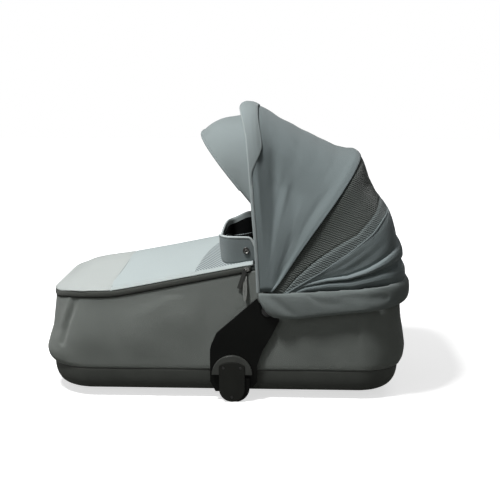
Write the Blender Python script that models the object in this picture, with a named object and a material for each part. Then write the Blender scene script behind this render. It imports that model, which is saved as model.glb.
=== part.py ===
# Carrycot with a folding hood, made to click onto a pushchair frame.
# Metres, +Z up, +X towards the head end, -Y is the right-hand side.
# The origin is on the floor, under the middle of the carrycot.

import math

import bmesh
import bpy
from mathutils import Vector

for item in list(bpy.data.objects):
    bpy.data.objects.remove(item, do_unlink=True)

# Driving dimensions of the tub
fit_gap = 0.0003
rim_foot_x = -0.388
rim_head_x = 0.392
rim_half_width = 0.185
rim_corner_radius = 0.085
rim_foot_height = 0.2405
rim_rise_start = -0.2645
rim_rise_end = 0.085
rim_blend = 0.040
rim_rise_share = 0.20
rim_fall_share = 0.05
rim_tube_radius = 0.007
tray_bottom_height = 0.0215
seam_height = 0.071

# Driving dimensions of the soft wall
wall_thickness = 0.002
side_bulge = 0.0017
foot_bulge = 0.0275
head_bulge = 0.0185
wall_top_drop = 0.0045

# Driving dimensions of the hood
pivot_x = 0.100
pivot_z = 0.213
front_rib_angle = math.radians(95.7)
middle_rib_angle = math.radians(57.5)
rear_rib_angle = math.radians(36.0)
front_rib_crown = 0.4515
middle_rib_crown = 0.390
rear_rib_crown = 0.3403
arch_start = 0.100
rib_thickness = 0.0024
rib_width = 0.010
rib_layer_gap = 0.0004
hub_radius = 0.013
hood_cloth_thickness = 0.002

# Driving dimensions of the side arms and connectors
arm_thickness = 0.0072
tongue_thickness = 0.0030
cover_centre_x = 0.0203
cover_half_width = 0.0290
cover_bottom_height = 0.0008
cover_top_height = 0.0937
cover_thickness = 0.0040

# Layers across the width, worked out from the tub outwards
wall_inner_out = rim_tube_radius + 0.5 * hood_cloth_thickness - fit_gap - fit_gap
wall_out = wall_inner_out + wall_thickness
arm_clearance = 0.0006
arm_inner = rim_half_width + wall_out + side_bulge + arm_clearance
arm_outer = arm_inner + arm_thickness
tongue_clearance = 0.0012
tongue_inner = rim_half_width + wall_out + tongue_clearance
tongue_outer = tongue_inner + tongue_thickness
rear_layer = tongue_outer + rib_layer_gap + 0.5 * rib_thickness
middle_layer = rear_layer + rib_thickness + rib_layer_gap
front_layer = middle_layer + rib_thickness + rib_layer_gap
cloth_layer = front_layer + 0.5 * rib_thickness + rib_layer_gap + 0.5 * hood_cloth_thickness
cloth_lift = 0.5 * rib_thickness + fit_gap + 0.5 * hood_cloth_thickness

sides = (("right", -1), ("left", 1))


# Materials

def material(name, colour, roughness, metallic=0.0):
    made = bpy.data.materials.new(name)
    made.use_nodes = True
    shader = made.node_tree.nodes["Principled BSDF"]
    shader.inputs["Base Color"].default_value = (*colour, 1.0)
    shader.inputs["Roughness"].default_value = roughness
    shader.inputs["Metallic"].default_value = metallic
    return made


hood_cloth = material("hood_cloth", (0.22, 0.27, 0.28), 0.9)
hem_cloth = material("hem_cloth", (0.27, 0.31, 0.32), 0.9)
mesh_cloth = material("mesh_cloth", (0.10, 0.12, 0.115), 0.9)
apron_cloth = material("apron_cloth", (0.55, 0.61, 0.61), 0.85)
tub_cloth = material("tub_cloth", (0.11, 0.125, 0.115), 0.95)
valance_cloth = material("valance_cloth", (0.12, 0.14, 0.135), 0.9)
lining_cloth = material("lining_cloth", (0.03, 0.03, 0.03), 0.95)
mattress_cloth = material("mattress_cloth", (0.75, 0.75, 0.73), 0.9)
black_plastic = material("black_plastic", (0.012, 0.012, 0.010), 0.55)
cover_plastic = material("cover_plastic", (0.018, 0.020, 0.016), 0.6)
tray_plastic = material("tray_plastic", (0.045, 0.047, 0.040), 0.8)
frame_alloy = material("frame_alloy", (0.55, 0.55, 0.56), 0.35, 1.0)
spring_steel = material("spring_steel", (0.5, 0.5, 0.5), 0.3, 1.0)
dark_steel = material("dark_steel", (0.08, 0.08, 0.08), 0.35, 1.0)
pad_rubber = material("pad_rubber", (0.02, 0.02, 0.02), 0.9)


# Shape helpers

def place(name, mesh_data, look, origin=(0.0, 0.0, 0.0), smooth=True):
    bmesh.ops.recalc_face_normals(mesh_data, faces=mesh_data.faces)
    bmesh.ops.translate(mesh_data, verts=mesh_data.verts, vec=-Vector(origin))
    mesh = bpy.data.meshes.new(name)
    mesh_data.to_mesh(mesh)
    mesh_data.free()
    mesh.materials.append(look)
    if smooth:
        mesh.shade_smooth()
        mesh.set_sharp_from_angle(angle=math.radians(40))
    made = bpy.data.objects.new(name, mesh)
    made.location = origin
    bpy.context.scene.collection.objects.link(made)
    return made


def loft(rings, closed_rings, closed_path):
    """Skin of quads through rings of points; open paths get flat ends."""
    made = bmesh.new()
    rows = [[made.verts.new(point) for point in ring] for ring in rings]
    count = len(rows)
    size = len(rows[0])
    for i in range(count if closed_path else count - 1):
        here = rows[i]
        there = rows[(i + 1) % count]
        for j in range(size if closed_rings else size - 1):
            k = (j + 1) % size
            made.faces.new((here[j], here[k], there[k], there[j]))
    if not closed_path:
        made.faces.new(rows[0])
        made.faces.new(rows[-1])
    return made


def slab(outline, near, far):
    """Outline in X and Z, as thick as the distance between two Y values."""
    return loft([[(x, y, z) for x, z in outline] for y in (near, far)], True, False)


def turned(centre, axis, profile, steps=20):
    """Solid of revolution: the profile holds distances along the axis and radii."""
    along = Vector(axis).normalized()
    across = along.orthogonal().normalized()
    third = along.cross(across)
    rings = []
    for distance, radius in profile:
        ring = []
        for k in range(steps):
            turn = math.tau * k / steps
            spoke = across * math.cos(turn) + third * math.sin(turn)
            ring.append(Vector(centre) + along * distance + spoke * radius)
        rings.append(ring)
    return loft(rings, True, False)


def box(low, high):
    outline = ((low[0], low[2]), (high[0], low[2]), (high[0], high[2]), (low[0], high[2]))
    return slab(outline, low[1], high[1])


def sheet(grid, thickness):
    """Closed thin solid on both sides of a grid of points."""
    rows = len(grid)
    columns = len(grid[0])
    above = []
    below = []
    for i in range(rows):
        for j in range(columns):
            down = grid[min(i + 1, rows - 1)][j] - grid[max(i - 1, 0)][j]
            over = grid[i][min(j + 1, columns - 1)] - grid[i][max(j - 1, 0)]
            normal = down.cross(over).normalized()
            above.append(grid[i][j] + normal * (0.5 * thickness))
            below.append(grid[i][j] - normal * (0.5 * thickness))
    made = bmesh.new()
    top = [made.verts.new(point) for point in above]
    base = [made.verts.new(point) for point in below]
    for i in range(rows - 1):
        for j in range(columns - 1):
            a = i * columns + j
            b = a + columns
            made.faces.new((top[a], top[a + 1], top[b + 1], top[b]))
            made.faces.new((base[a], base[b], base[b + 1], base[a + 1]))
    edge = [j for j in range(columns)]
    edge += [i * columns + columns - 1 for i in range(1, rows)]
    edge += [(rows - 1) * columns + j for j in range(columns - 2, -1, -1)]
    edge += [i * columns for i in range(rows - 2, 0, -1)]
    for here, there in zip(edge, edge[1:] + edge[:1]):
        made.faces.new((top[here], base[here], base[there], top[there]))
    return made


def rod(name, points, radius, look, origin=(0.0, 0.0, 0.0), resolution=2):
    """Round wire through a list of points."""
    curve = bpy.data.curves.new(name, "CURVE")
    curve.dimensions = "3D"
    curve.bevel_depth = radius
    curve.bevel_resolution = resolution
    curve.use_fill_caps = True
    spline = curve.splines.new("POLY")
    spline.points.add(len(points) - 1)
    for slot, point in zip(spline.points, points):
        slot.co = (*(Vector(point) - Vector(origin)), 1.0)
    curve.materials.append(look)
    made = bpy.data.objects.new(name, curve)
    made.location = origin
    bpy.context.scene.collection.objects.link(made)
    return made


def change(target, other, operation):
    tool = target.modifiers.new(operation.lower(), "BOOLEAN")
    tool.operation = operation
    tool.solver = "EXACT"
    tool.object = other
    other.hide_render = True
    other.display_type = "WIRE"


def arc(centre_x, centre_z, radius, start, end, steps):
    points = []
    for k in range(steps + 1):
        turn = start + (end - start) * k / steps
        points.append((centre_x + radius * math.cos(turn), centre_z + radius * math.sin(turn)))
    return points


# The rim of the tub: its height along the length, and its plan

def rim_height(x):
    def eased(distance):
        if distance < -rim_blend:
            return 0.0
        if distance > rim_blend:
            return distance
        return (distance + rim_blend) ** 2 / (4 * rim_blend)

    rise = rim_rise_share * eased(x - rim_rise_start)
    fall = (rim_rise_share + rim_fall_share) * eased(x - rim_rise_end)
    return rim_foot_height + rise - fall


def rim_stations(side_steps=12, end_steps=3, corner_steps=6):
    """Points on the rim's centre line in plan, each with its outward direction."""
    radius = rim_corner_radius
    across = rim_half_width - radius
    centres = ((rim_head_x - radius, across), (rim_foot_x + radius, across),
               (rim_foot_x + radius, -across), (rim_head_x - radius, -across))
    stations = []
    for corner, (x, y) in enumerate(centres):
        for k in range(corner_steps + 1):
            turn = 0.5 * math.pi * (corner + k / corner_steps)
            out = Vector((math.cos(turn), math.sin(turn)))
            stations.append((Vector((x, y)) + out * radius, out))
        steps = side_steps if corner % 2 == 0 else end_steps
        last = stations[-1][0]
        following = Vector(centres[(corner + 1) % 4]) + out * radius
        for k in range(1, steps):
            stations.append((last.lerp(following, k / steps), out))
    return stations


def band(stations, section, closed):
    """Solid that follows the rim's plan; the section gives distances out and heights."""
    rings = []
    for point, out in stations:
        rings.append([(*(point + out * distance), z) for distance, z in section(point, out)])
    return loft(rings, True, closed)


def by_direction(out, side_value, foot_value, head_value):
    """Value that changes from the long sides to the foot end or the head end."""
    end_value = head_value if out.x > 0 else foot_value
    return side_value + (end_value - side_value) * out.x ** 2


# Base tray: a moulded shell with a turned-in bottom edge
tray_wall = 0.003
tray_floor = 0.003
tray_out_side = 0.005
tray_out_foot = 0.016
tray_out_head = 0.009
tray_tuck_side = 0.017
tray_tuck_end = 0.030
tray_height_shares = (1.0, 0.50, 0.25, 0.09, 0.0)
tray_tuck_shares = (0.0, 0.10, 0.25, 0.55, 1.0)


def tray_out(out, height_share):
    for k in range(len(tray_height_shares) - 1):
        high = tray_height_shares[k]
        low = tray_height_shares[k + 1]
        if height_share >= low:
            part = (high - height_share) / (high - low)
            tuck_share = tray_tuck_shares[k] + part * (tray_tuck_shares[k + 1] - tray_tuck_shares[k])
            break
    tuck = by_direction(out, tray_tuck_side, tray_tuck_end, tray_tuck_end)
    return by_direction(out, tray_out_side, tray_out_foot, tray_out_head) - tuck * tuck_share


def tray_rows():
    depth = seam_height - tray_bottom_height
    floor_share = tray_floor / depth
    rows = [(share, 0.0) for share in reversed(tray_height_shares)]
    rows += [(share, tray_wall) for share in tray_height_shares if share > floor_share]
    rows.append((floor_share, tray_wall))
    rings = []
    for share, inset in rows:
        z = tray_bottom_height + depth * share
        rings.append([(*(point + out * (tray_out(out, share) - inset)), z)
                      for point, out in rim_stations()])
    return rings


place("base_tray", loft(tray_rows(), True, False), tray_plastic)

# Floor board and mattress lying in the tray
board_thickness = 0.0055
board_end_inset = 0.040
board_side_inset = 0.026
mattress_end_inset = 0.046
mattress_side_inset = 0.024
mattress_depth = 0.034
mattress_crown = 0.008
mattress_tuck = 0.007
board_bottom = tray_bottom_height + tray_floor + fit_gap
board_top = board_bottom + board_thickness


def inset_ring(end_inset, side_inset, z, scale_share=1.0):
    middle = Vector((0.5 * (rim_foot_x + rim_head_x), 0.0))
    ring = []
    for point, out in rim_stations(side_steps=5, corner_steps=5):
        inset = by_direction(out, side_inset, end_inset, end_inset)
        ring.append((*(middle + (point - out * inset - middle) * scale_share), z))
    return ring


board_rings = [inset_ring(board_end_inset, board_side_inset, z) for z in (board_bottom, board_top)]
place("floor_board", loft(board_rings, True, False), tray_plastic)

mattress_bottom = board_top + fit_gap
mattress_shape_shares = ((0.0, 1.0), (0.25, 0.15), (0.55, 0.0), (0.80, 0.25), (1.0, 1.0))
mattress_crown_shares = (0.93, 0.78, 0.55, 0.25)


def mattress_rings():
    rings = []
    for height_share, tuck_share in mattress_shape_shares:
        tuck = mattress_tuck * tuck_share
        z = mattress_bottom + mattress_depth * height_share
        rings.append(inset_ring(mattress_end_inset + tuck, mattress_side_inset + tuck, z))
    for scale_share in mattress_crown_shares:
        z = mattress_bottom + mattress_depth + mattress_crown * (1 - scale_share ** 2)
        end_inset = mattress_end_inset + mattress_tuck
        side_inset = mattress_side_inset + mattress_tuck
        rings.append(inset_ring(end_inset, side_inset, z, scale_share))
    return rings


place("mattress", loft(mattress_rings(), True, False), mattress_cloth)

# Rim frame: one closed tube that carries the cloth and the hood
rim_sides = 8


def rim_section(point, out):
    z = rim_height(point.x)
    turns = [math.tau * k / rim_sides for k in range(rim_sides)]
    return [(rim_tube_radius * math.cos(turn), z + rim_tube_radius * math.sin(turn)) for turn in turns]


place("rim_frame", band(rim_stations(), rim_section, True), frame_alloy)

# Outer wall of cloth, fuller at the ends, standing on the tray's edge
wall_height_shares = (0.0, 0.06, 0.18, 0.35, 0.52, 0.80, 1.0)
wall_bulge_shares = (0.50, 0.84, 1.0, 0.72, 0.38, 0.14, 0.0)
flange_height = 0.002


def wall_bulge(out, height_share):
    bulge = by_direction(out, side_bulge, foot_bulge, head_bulge)
    for k in range(len(wall_height_shares) - 1):
        low = wall_height_shares[k]
        high = wall_height_shares[k + 1]
        if height_share <= high:
            part = (height_share - low) / (high - low)
            return bulge * (wall_bulge_shares[k] + part * (wall_bulge_shares[k + 1] - wall_bulge_shares[k]))
    return bulge * wall_bulge_shares[-1]


def wall_section(point, out):
    bottom = seam_height + fit_gap
    top = rim_height(point.x) - wall_top_drop
    flange_tip = tray_out(out, 1.0) - tray_wall
    outer = [(wall_out + wall_bulge(out, share), bottom + (top - bottom) * share)
             for share in wall_height_shares]
    inner = [(distance - wall_thickness, z) for distance, z in reversed(outer[1:])]
    lip = [(outer[0][0] - wall_thickness, bottom + flange_height),
           (flange_tip, bottom + flange_height), (flange_tip, bottom)]
    return outer + inner + lip


place("side_fabric", band(rim_stations(), wall_section, True), tub_cloth)

# Lining inside the tub
lining_thickness = 0.002
lining_top_out = -(rim_tube_radius + fit_gap)
lining_bottom_side = -0.017
lining_bottom_end = -0.036
lining_bottom = board_top + fit_gap


def lining_section(point, out):
    low = by_direction(out, lining_bottom_side, lining_bottom_end, lining_bottom_end)
    top = rim_height(point.x)
    return [(lining_top_out, top), (low, lining_bottom),
            (low - lining_thickness, lining_bottom), (lining_top_out - lining_thickness, top)]


place("inner_liner", band(rim_stations(), lining_section, True), lining_cloth)

# End stays: bent wires that hold the two ends of the rim up from the tray
stay_radius = 0.0025
stay_side_inset = 0.110
stay_half_width = rim_half_width - stay_side_inset
stay_base_inset = 0.018
stay_bar_height = tray_bottom_height + tray_floor + fit_gap + stay_radius


def end_stay(name, rim_x, inward):
    top = rim_height(rim_x) - rim_tube_radius - fit_gap
    base_x = rim_x + inward * stay_base_inset
    points = [(rim_x, -stay_half_width, top), (base_x, -stay_half_width, stay_bar_height),
              (base_x, stay_half_width, stay_bar_height), (rim_x, stay_half_width, top)]
    rod(name, points, stay_radius, spring_steel)


end_stay("end_stay_foot", rim_foot_x, 1)
end_stay("end_stay_head", rim_head_x, -1)

# Foot rails with rubber pads under the tray
rail_foot_inset = 0.108
rail_head_inset = 0.112
rail_foot_x = rim_foot_x + rail_foot_inset
rail_head_x = rim_head_x - rail_head_inset
rail_length = 0.030
rail_side_inset = 0.110
rail_half_width = rim_half_width - rail_side_inset
pad_radius = 0.011
pad_height = 0.004
pad_inset = 0.015
pad_y = rail_half_width - pad_inset
pad_lip = 0.001

for end_name, end_x in (("foot", rail_foot_x), ("head", rail_head_x)):
    rail_low = (end_x - 0.5 * rail_length, -rail_half_width, pad_height + fit_gap)
    rail_high = (end_x + 0.5 * rail_length, rail_half_width, tray_bottom_height - fit_gap)
    place(f"foot_rail_{end_name}", box(rail_low, rail_high), black_plastic, smooth=False)
    for side_name, side in sides:
        pad_profile = ((0.0, pad_radius - pad_lip), (pad_lip, pad_radius), (pad_height, pad_radius))
        pad = turned((end_x, side * pad_y, 0.0), (0, 0, 1), pad_profile, 24)
        place(f"foot_pad_{end_name}_{side_name}", pad, pad_rubber)

# Side arms: moulded plates from the connector up to the hood's hinge
arm_left_x = -0.0297
arm_right_x = 0.0772
arm_foot_height = 0.0220
arm_waist_height = 0.1323
arm_shoulder_x = -0.0154
arm_shoulder_height = 0.1582
arm_tip_x = 0.0769
arm_tip_rise = 0.0274
arm_tip_height = pivot_z + arm_tip_rise
arm_back_x = 0.1263
arm_back_low = 0.1879
arm_elbow_x = 0.0884
arm_elbow_height = 0.1173
arm_knee_x = 0.1085
arm_knee_height = 0.1527
arm_heel_height = 0.0841
arm_toe_height = 0.0438
arm_corner = 0.0120
hinge_relief = 0.0020
hinge_boss = 0.0240
pin_radius = 0.0030
pin_clearance = 0.0003
pod_centre_x = 0.0265
pod_radius = 0.0340
pod_centre_z = 0.0330
notch_gap = 0.0003
cover_rise = 0.0089
button_foot_drop = 0.0208
pod_top_drop = 0.0080
cover_shoulder_height = cover_top_height - cover_rise
button_foot_height = cover_shoulder_height - button_foot_drop
pod_top_height = button_foot_height - pod_top_drop


def arm_outline():
    relief = hub_radius + hinge_relief
    saddle = arc(pivot_x, pivot_z, relief, math.radians(160), math.radians(318), 8)
    outline = [
        (pod_centre_x - pod_radius - notch_gap, arm_foot_height),
        (arm_left_x + arm_corner, arm_foot_height),
        (arm_left_x, arm_foot_height + arm_corner + arm_corner),
        (arm_left_x, arm_waist_height - arm_corner),
        (arm_left_x + 0.25 * arm_corner, arm_waist_height),
        (arm_shoulder_x, arm_shoulder_height),
        (arm_tip_x, arm_tip_height),
    ]
    outline += saddle
    outline += [
        (arm_back_x, pivot_z - relief),
        (arm_back_x, arm_back_low),
        (arm_knee_x, arm_knee_height),
        (arm_elbow_x, arm_elbow_height),
        (arm_right_x, arm_heel_height),
        (arm_right_x, arm_toe_height),
        (arm_right_x - arm_corner, arm_toe_height - arm_corner),
        (pod_centre_x + pod_radius + notch_gap, arm_toe_height - arm_corner),
        (pod_centre_x + pod_radius + notch_gap, pod_top_height + notch_gap),
        (pod_centre_x - pod_radius - notch_gap, pod_top_height + notch_gap),
    ]
    return outline


# Connector covers, housings, buttons and latches, one set on each side
plate_inner = arm_outer + fit_gap
housing_outer = plate_inner + 0.0057
cover_inner = housing_outer + fit_gap
cover_outer = cover_inner + cover_thickness
housing_inner = rim_half_width + tray_out_side + 0.0012
cover_inset = 0.0002
socket_half_length = 0.0100
socket_inner = housing_inner + 0.0038
socket_outer = housing_outer - 0.0040
bolt_drop = 0.0150
bolt_height = 0.0080
bolt_reach = 0.0040
bolt_length = 0.0138
bolt_clearance = 0.0004
bolt_bottom = pod_top_height - bolt_drop
socket_depth = bolt_bottom + bolt_height + bolt_clearance
bolt_inner = socket_inner + 0.0030
bolt_outer = socket_outer - bolt_clearance
spring_length = 0.0072
spring_coil_radius = 0.0026
spring_wire_radius = 0.0004
spring_turns = 4
spring_points_per_turn = 8
button_radius = 0.0460
button_rise = 0.0151
button_centre_z = cover_top_height + button_rise - button_radius
button_gap = 0.0004
button_thickness = 0.0080
screw_head_radius = 0.0030
screw_head_height = 0.0012
screw_shank_radius = 0.0014
screw_hole_gap = 0.0003
screw_upper_reach = 0.0195
screw_upper_drop = 0.0043
screw_lower_height = 0.0115
arm_thread_depth = 0.0045
housing_thread_depth = 0.0034
overrun = 0.0020


def cover_outline(inset):
    half = cover_half_width - inset
    crown = (cover_half_width ** 2 + cover_rise ** 2) / (2 * cover_rise)
    crown_z = cover_top_height - crown
    turn = math.asin(half / crown)
    bottom = arc(cover_centre_x, cover_bottom_height + cover_half_width, half, math.pi, math.tau, 14)
    top = arc(cover_centre_x, crown_z, crown - inset, 0.5 * math.pi - turn, 0.5 * math.pi + turn, 8)
    return bottom + top


def button_outline():
    half = cover_half_width + button_gap
    crown = (cover_half_width ** 2 + cover_rise ** 2) / (2 * cover_rise)
    crown_z = cover_top_height - crown
    low_turn = math.asin((button_foot_height - button_centre_z) / button_radius)
    inner_turn = math.asin(half / (crown + button_gap))
    outer = arc(cover_centre_x, button_centre_z, button_radius, low_turn, math.pi - low_turn, 20)
    inner = arc(cover_centre_x, crown_z, crown + button_gap,
                0.5 * math.pi + inner_turn, 0.5 * math.pi - inner_turn, 8)
    feet = [(cover_centre_x - half, button_foot_height)]
    return outer + feet + inner + [(cover_centre_x + half, button_foot_height)]


def spring_points(side):
    start = cover_centre_x + socket_half_length - bolt_reach + bolt_length + spring_wire_radius + fit_gap
    centre_y = side * 0.5 * (bolt_inner + bolt_outer)
    centre_z = bolt_bottom + 0.5 * bolt_height
    total = spring_turns * spring_points_per_turn
    pitch = spring_length - spring_wire_radius - spring_wire_radius
    points = []
    for k in range(total + 1):
        turn = math.tau * k / spring_points_per_turn
        points.append((start + pitch * k / total,
                       centre_y + spring_coil_radius * math.cos(turn),
                       centre_z + spring_coil_radius * math.sin(turn)))
    return points


def hinge_bore():
    reach = cloth_layer + hub_radius
    bore = turned((pivot_x, 0, pivot_z), (0, 1, 0),
                  ((-reach, pin_radius + pin_clearance), (reach, pin_radius + pin_clearance)), 20)
    return place("cut_hinge_bore", bore, black_plastic)


hinge_cutter = hinge_bore()

for side_name, side in sides:
    arm = place(f"side_arm_{side_name}", slab(arm_outline(), side * arm_inner, side * arm_outer),
                black_plastic, smooth=False)
    boss = turned((pivot_x, 0, pivot_z), (0, side, 0),
                  ((tongue_inner, hinge_boss), (tongue_outer, hinge_boss)), 28)
    change(arm, place(f"join_hinge_boss_{side_name}", boss, black_plastic), "UNION")
    change(arm, hinge_cutter, "DIFFERENCE")

    floor_turn = math.asin(pod_centre_z / pod_radius)
    pod = arc(pod_centre_x, pod_centre_z, pod_radius, math.pi, math.pi + floor_turn, 8)
    pod += arc(pod_centre_x, pod_centre_z, pod_radius, math.tau - floor_turn, math.tau, 8)
    pod += [(pod_centre_x + pod_radius, pod_top_height), (pod_centre_x - pod_radius, pod_top_height)]
    housing = place(f"connector_housing_{side_name}",
                    slab(pod, side * housing_inner, side * housing_outer), black_plastic, smooth=False)
    backing = slab(cover_outline(cover_inset), side * plate_inner, side * (housing_outer - cover_inset))
    change(housing, place(f"join_housing_plate_{side_name}", backing, black_plastic), "UNION")
    socket = box((cover_centre_x - socket_half_length, min(side * socket_inner, side * socket_outer),
                  -overrun),
                 (cover_centre_x + socket_half_length, max(side * socket_inner, side * socket_outer),
                  socket_depth))
    change(housing, place(f"cut_socket_{side_name}", socket, black_plastic), "DIFFERENCE")
    slot_start = cover_centre_x + socket_half_length - fit_gap
    slot_end = (cover_centre_x + socket_half_length - bolt_reach + bolt_length + spring_length
                + fit_gap + fit_gap)
    slot_faces = (side * (bolt_inner - bolt_clearance), side * (housing_outer + overrun))
    slot = box((slot_start, min(slot_faces), bolt_bottom - bolt_clearance),
               (slot_end, max(slot_faces), bolt_bottom + bolt_height + bolt_clearance))
    change(housing, place(f"cut_bolt_slot_{side_name}", slot, black_plastic), "DIFFERENCE")

    cover = place(f"connector_cover_{side_name}",
                  slab(cover_outline(0.0), side * cover_inner, side * cover_outer),
                  cover_plastic, smooth=False)

    upper_tip = arm_outer - arm_thread_depth
    lower_tip = housing_outer - housing_thread_depth
    screw_upper_height = cover_shoulder_height - screw_upper_drop
    screw_places = (("front", cover_centre_x + screw_upper_reach, screw_upper_height, upper_tip),
                    ("rear", cover_centre_x - screw_upper_reach, screw_upper_height, upper_tip),
                    ("low", cover_centre_x, screw_lower_height, lower_tip))
    for screw_name, screw_x, screw_z, tip in screw_places:
        head_top = cover_outer
        head_bottom = head_top - screw_head_height
        screw = turned((screw_x, 0, screw_z), (0, side, 0),
                       ((tip, screw_shank_radius), (head_bottom, screw_shank_radius),
                        (head_bottom, screw_head_radius), (head_top, screw_head_radius)), 14)
        place(f"cover_screw_{screw_name}_{side_name}", screw, dark_steel)
        hole = turned((screw_x, 0, screw_z), (0, side, 0),
                      ((tip - screw_hole_gap, screw_shank_radius + screw_hole_gap),
                       (head_bottom - screw_hole_gap, screw_shank_radius + screw_hole_gap),
                       (head_bottom - screw_hole_gap, screw_head_radius + screw_hole_gap),
                       (head_top + overrun, screw_head_radius + screw_hole_gap)), 14)
        cutter = place(f"cut_screw_{screw_name}_{side_name}", hole, dark_steel)
        for target in (cover, housing, arm):
            change(target, cutter, "DIFFERENCE")

    button_faces = (side * plate_inner, side * (plate_inner + button_thickness))
    place(f"release_button_{side_name}", slab(button_outline(), *button_faces), cover_plastic,
          origin=(cover_centre_x, side * plate_inner, button_centre_z), smooth=False)

    bolt_start = cover_centre_x + socket_half_length - bolt_reach
    bolt = box((bolt_start, min(side * bolt_inner, side * bolt_outer), bolt_bottom),
               (bolt_start + bolt_length, max(side * bolt_inner, side * bolt_outer),
                bolt_bottom + bolt_height))
    place(f"latch_bolt_{side_name}", bolt, spring_steel, smooth=False,
          origin=(bolt_start, side * 0.5 * (bolt_inner + bolt_outer), bolt_bottom + 0.5 * bolt_height))
    rod(f"latch_spring_{side_name}", spring_points(side), spring_wire_radius, spring_steel, resolution=1)

# Hood hinge pins
pin_head_radius = 0.0080
pin_head_height = 0.0018
pin_head_inner = front_layer + 0.5 * rib_thickness + rib_layer_gap

for side_name, side in sides:
    pin = turned((pivot_x, 0, pivot_z), (0, side, 0),
                 ((tongue_inner + fit_gap, pin_radius), (pin_head_inner, pin_radius),
                  (pin_head_inner, pin_head_radius), (pin_head_inner + pin_head_height, pin_head_radius)), 20)
    place(f"hood_hinge_pin_{side_name}", pin, dark_steel)

# Hood ribs: flat strips bent into arches that share one hinge line
front_square_share = 3.2
middle_square_share = 3.4
rear_square_share = 4.5
arch_steps = 24
hub_tip_width = 0.0040
handle_width = 0.016
handle_thickness = 0.0065


def arch_point(crown, half_width, square_share, turn):
    """Distance from the hinge line and sideways place of a point on a squared arch."""
    power = 2 / square_share
    reach = arch_start + (crown - arch_start) * math.sin(turn) ** power
    across = half_width * abs(math.cos(turn)) ** power
    return reach, math.copysign(across, -math.cos(turn))


def hood_place(angle, reach, across, along=0.0):
    """Point on the hood: out from the hinge line at an angle, and moved along the turn."""
    spoke = Vector((math.cos(angle), 0, math.sin(angle)))
    sweep = Vector((-math.sin(angle), 0, math.cos(angle)))
    return Vector((pivot_x, across, pivot_z)) + spoke * reach + sweep * along


def arch_line(crown, half_width, square_share, leg_reaches):
    legs = [(reach, -half_width) for reach in leg_reaches]
    turns = [math.pi * k / arch_steps for k in range(1, arch_steps)]
    arch = [arch_point(crown, half_width, square_share, turn) for turn in turns]
    return legs + arch + [(reach, -across) for reach, across in reversed(legs)]


def strip(line, angle, width_at, outward_at, inward_at):
    """Bent strip: each point of the line gets its own width and thickness."""
    rings = []
    for k, (reach, across) in enumerate(line):
        before = line[max(k - 1, 0)]
        after = line[min(k + 1, len(line) - 1)]
        run = Vector((after[0] - before[0], after[1] - before[1])).normalized()
        out = Vector((run.y, -run.x))
        half = 0.5 * width_at(reach)
        ring = []
        for offset, along in ((outward_at(reach), half), (outward_at(reach), -half),
                              (-inward_at(reach), -half), (-inward_at(reach), half)):
            ring.append(hood_place(angle, reach + out.x * offset, across + out.y * offset, along))
        rings.append(ring)
    return loft(rings, True, False)


hub_shares = (-0.98, -0.85, -0.5, 0.0, 0.5, 0.85, 0.93)


def rib_width_at(crown, crown_width):
    def width(reach):
        if reach < hub_radius:
            round_width = 2 * math.sqrt(max(hub_radius ** 2 - reach ** 2, 0.0))
            return max(round_width, rib_width if reach > 0 else hub_tip_width)
        part = max(0.0, (reach - arch_start) / (crown - arch_start))
        return rib_width + (crown_width - rib_width) * part ** 4
    return width


def rib(name, angle, crown, layer, square_share, crown_width=rib_width, crown_thickness=rib_thickness):
    legs = [hub_radius * share for share in hub_shares] + [0.5 * arch_start, arch_start]
    line = arch_line(crown, layer, square_share, legs)

    def inward(reach):
        part = max(0.0, (reach - arch_start) / (crown - arch_start))
        return 0.5 * rib_thickness + (crown_thickness - rib_thickness) * part ** 4

    made = strip(line, angle, rib_width_at(crown, crown_width), lambda reach: 0.5 * rib_thickness, inward)
    placed = place(name, made, black_plastic, origin=(pivot_x, 0.0, pivot_z))
    change(placed, hinge_cutter, "DIFFERENCE")
    return placed


rib("rib_rear", rear_rib_angle, rear_rib_crown, rear_layer, rear_square_share)
rib("rib_middle", middle_rib_angle, middle_rib_crown, middle_layer, middle_square_share,
    handle_width, handle_thickness)
rib_front = rib("rib_front", front_rib_angle, front_rib_crown, front_layer, front_square_share)

# Front hem: a stiff cloth band over the front rib, wide at the crown
hem_leg_start = 0.045
hem_leg_width = 0.016
hem_crown_width = 0.048


def hem_width_at(reach):
    part = max(0.0, (reach - arch_start) / (front_rib_crown - arch_start))
    return hem_leg_width + (hem_crown_width - hem_leg_width) * part ** 3


hem_line = arch_line(front_rib_crown + cloth_lift, cloth_layer, front_square_share,
                     [hem_leg_start, arch_start])
hem = strip(hem_line, front_rib_angle, hem_width_at,
            lambda reach: 0.5 * hood_cloth_thickness, lambda reach: 0.5 * hood_cloth_thickness)
place("hood_front_hem", hem, hem_cloth, origin=(pivot_x, 0.0, pivot_z))

# Hood cloth between the ribs
cloth_leg_starts = (0.045, 0.075)
cloth_edge_gap = 0.0006
front_sag = 0.032
mesh_sag = 0.017
cloth_columns = 24
front_row_shares = (0.0, 0.03, 0.15, 0.30, 0.45, 0.60, 0.75, 0.87, 0.955, 1.0)
mesh_row_shares = (0.0, 0.07, 0.22, 0.40, 0.58, 0.78, 0.95, 1.0)


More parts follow.
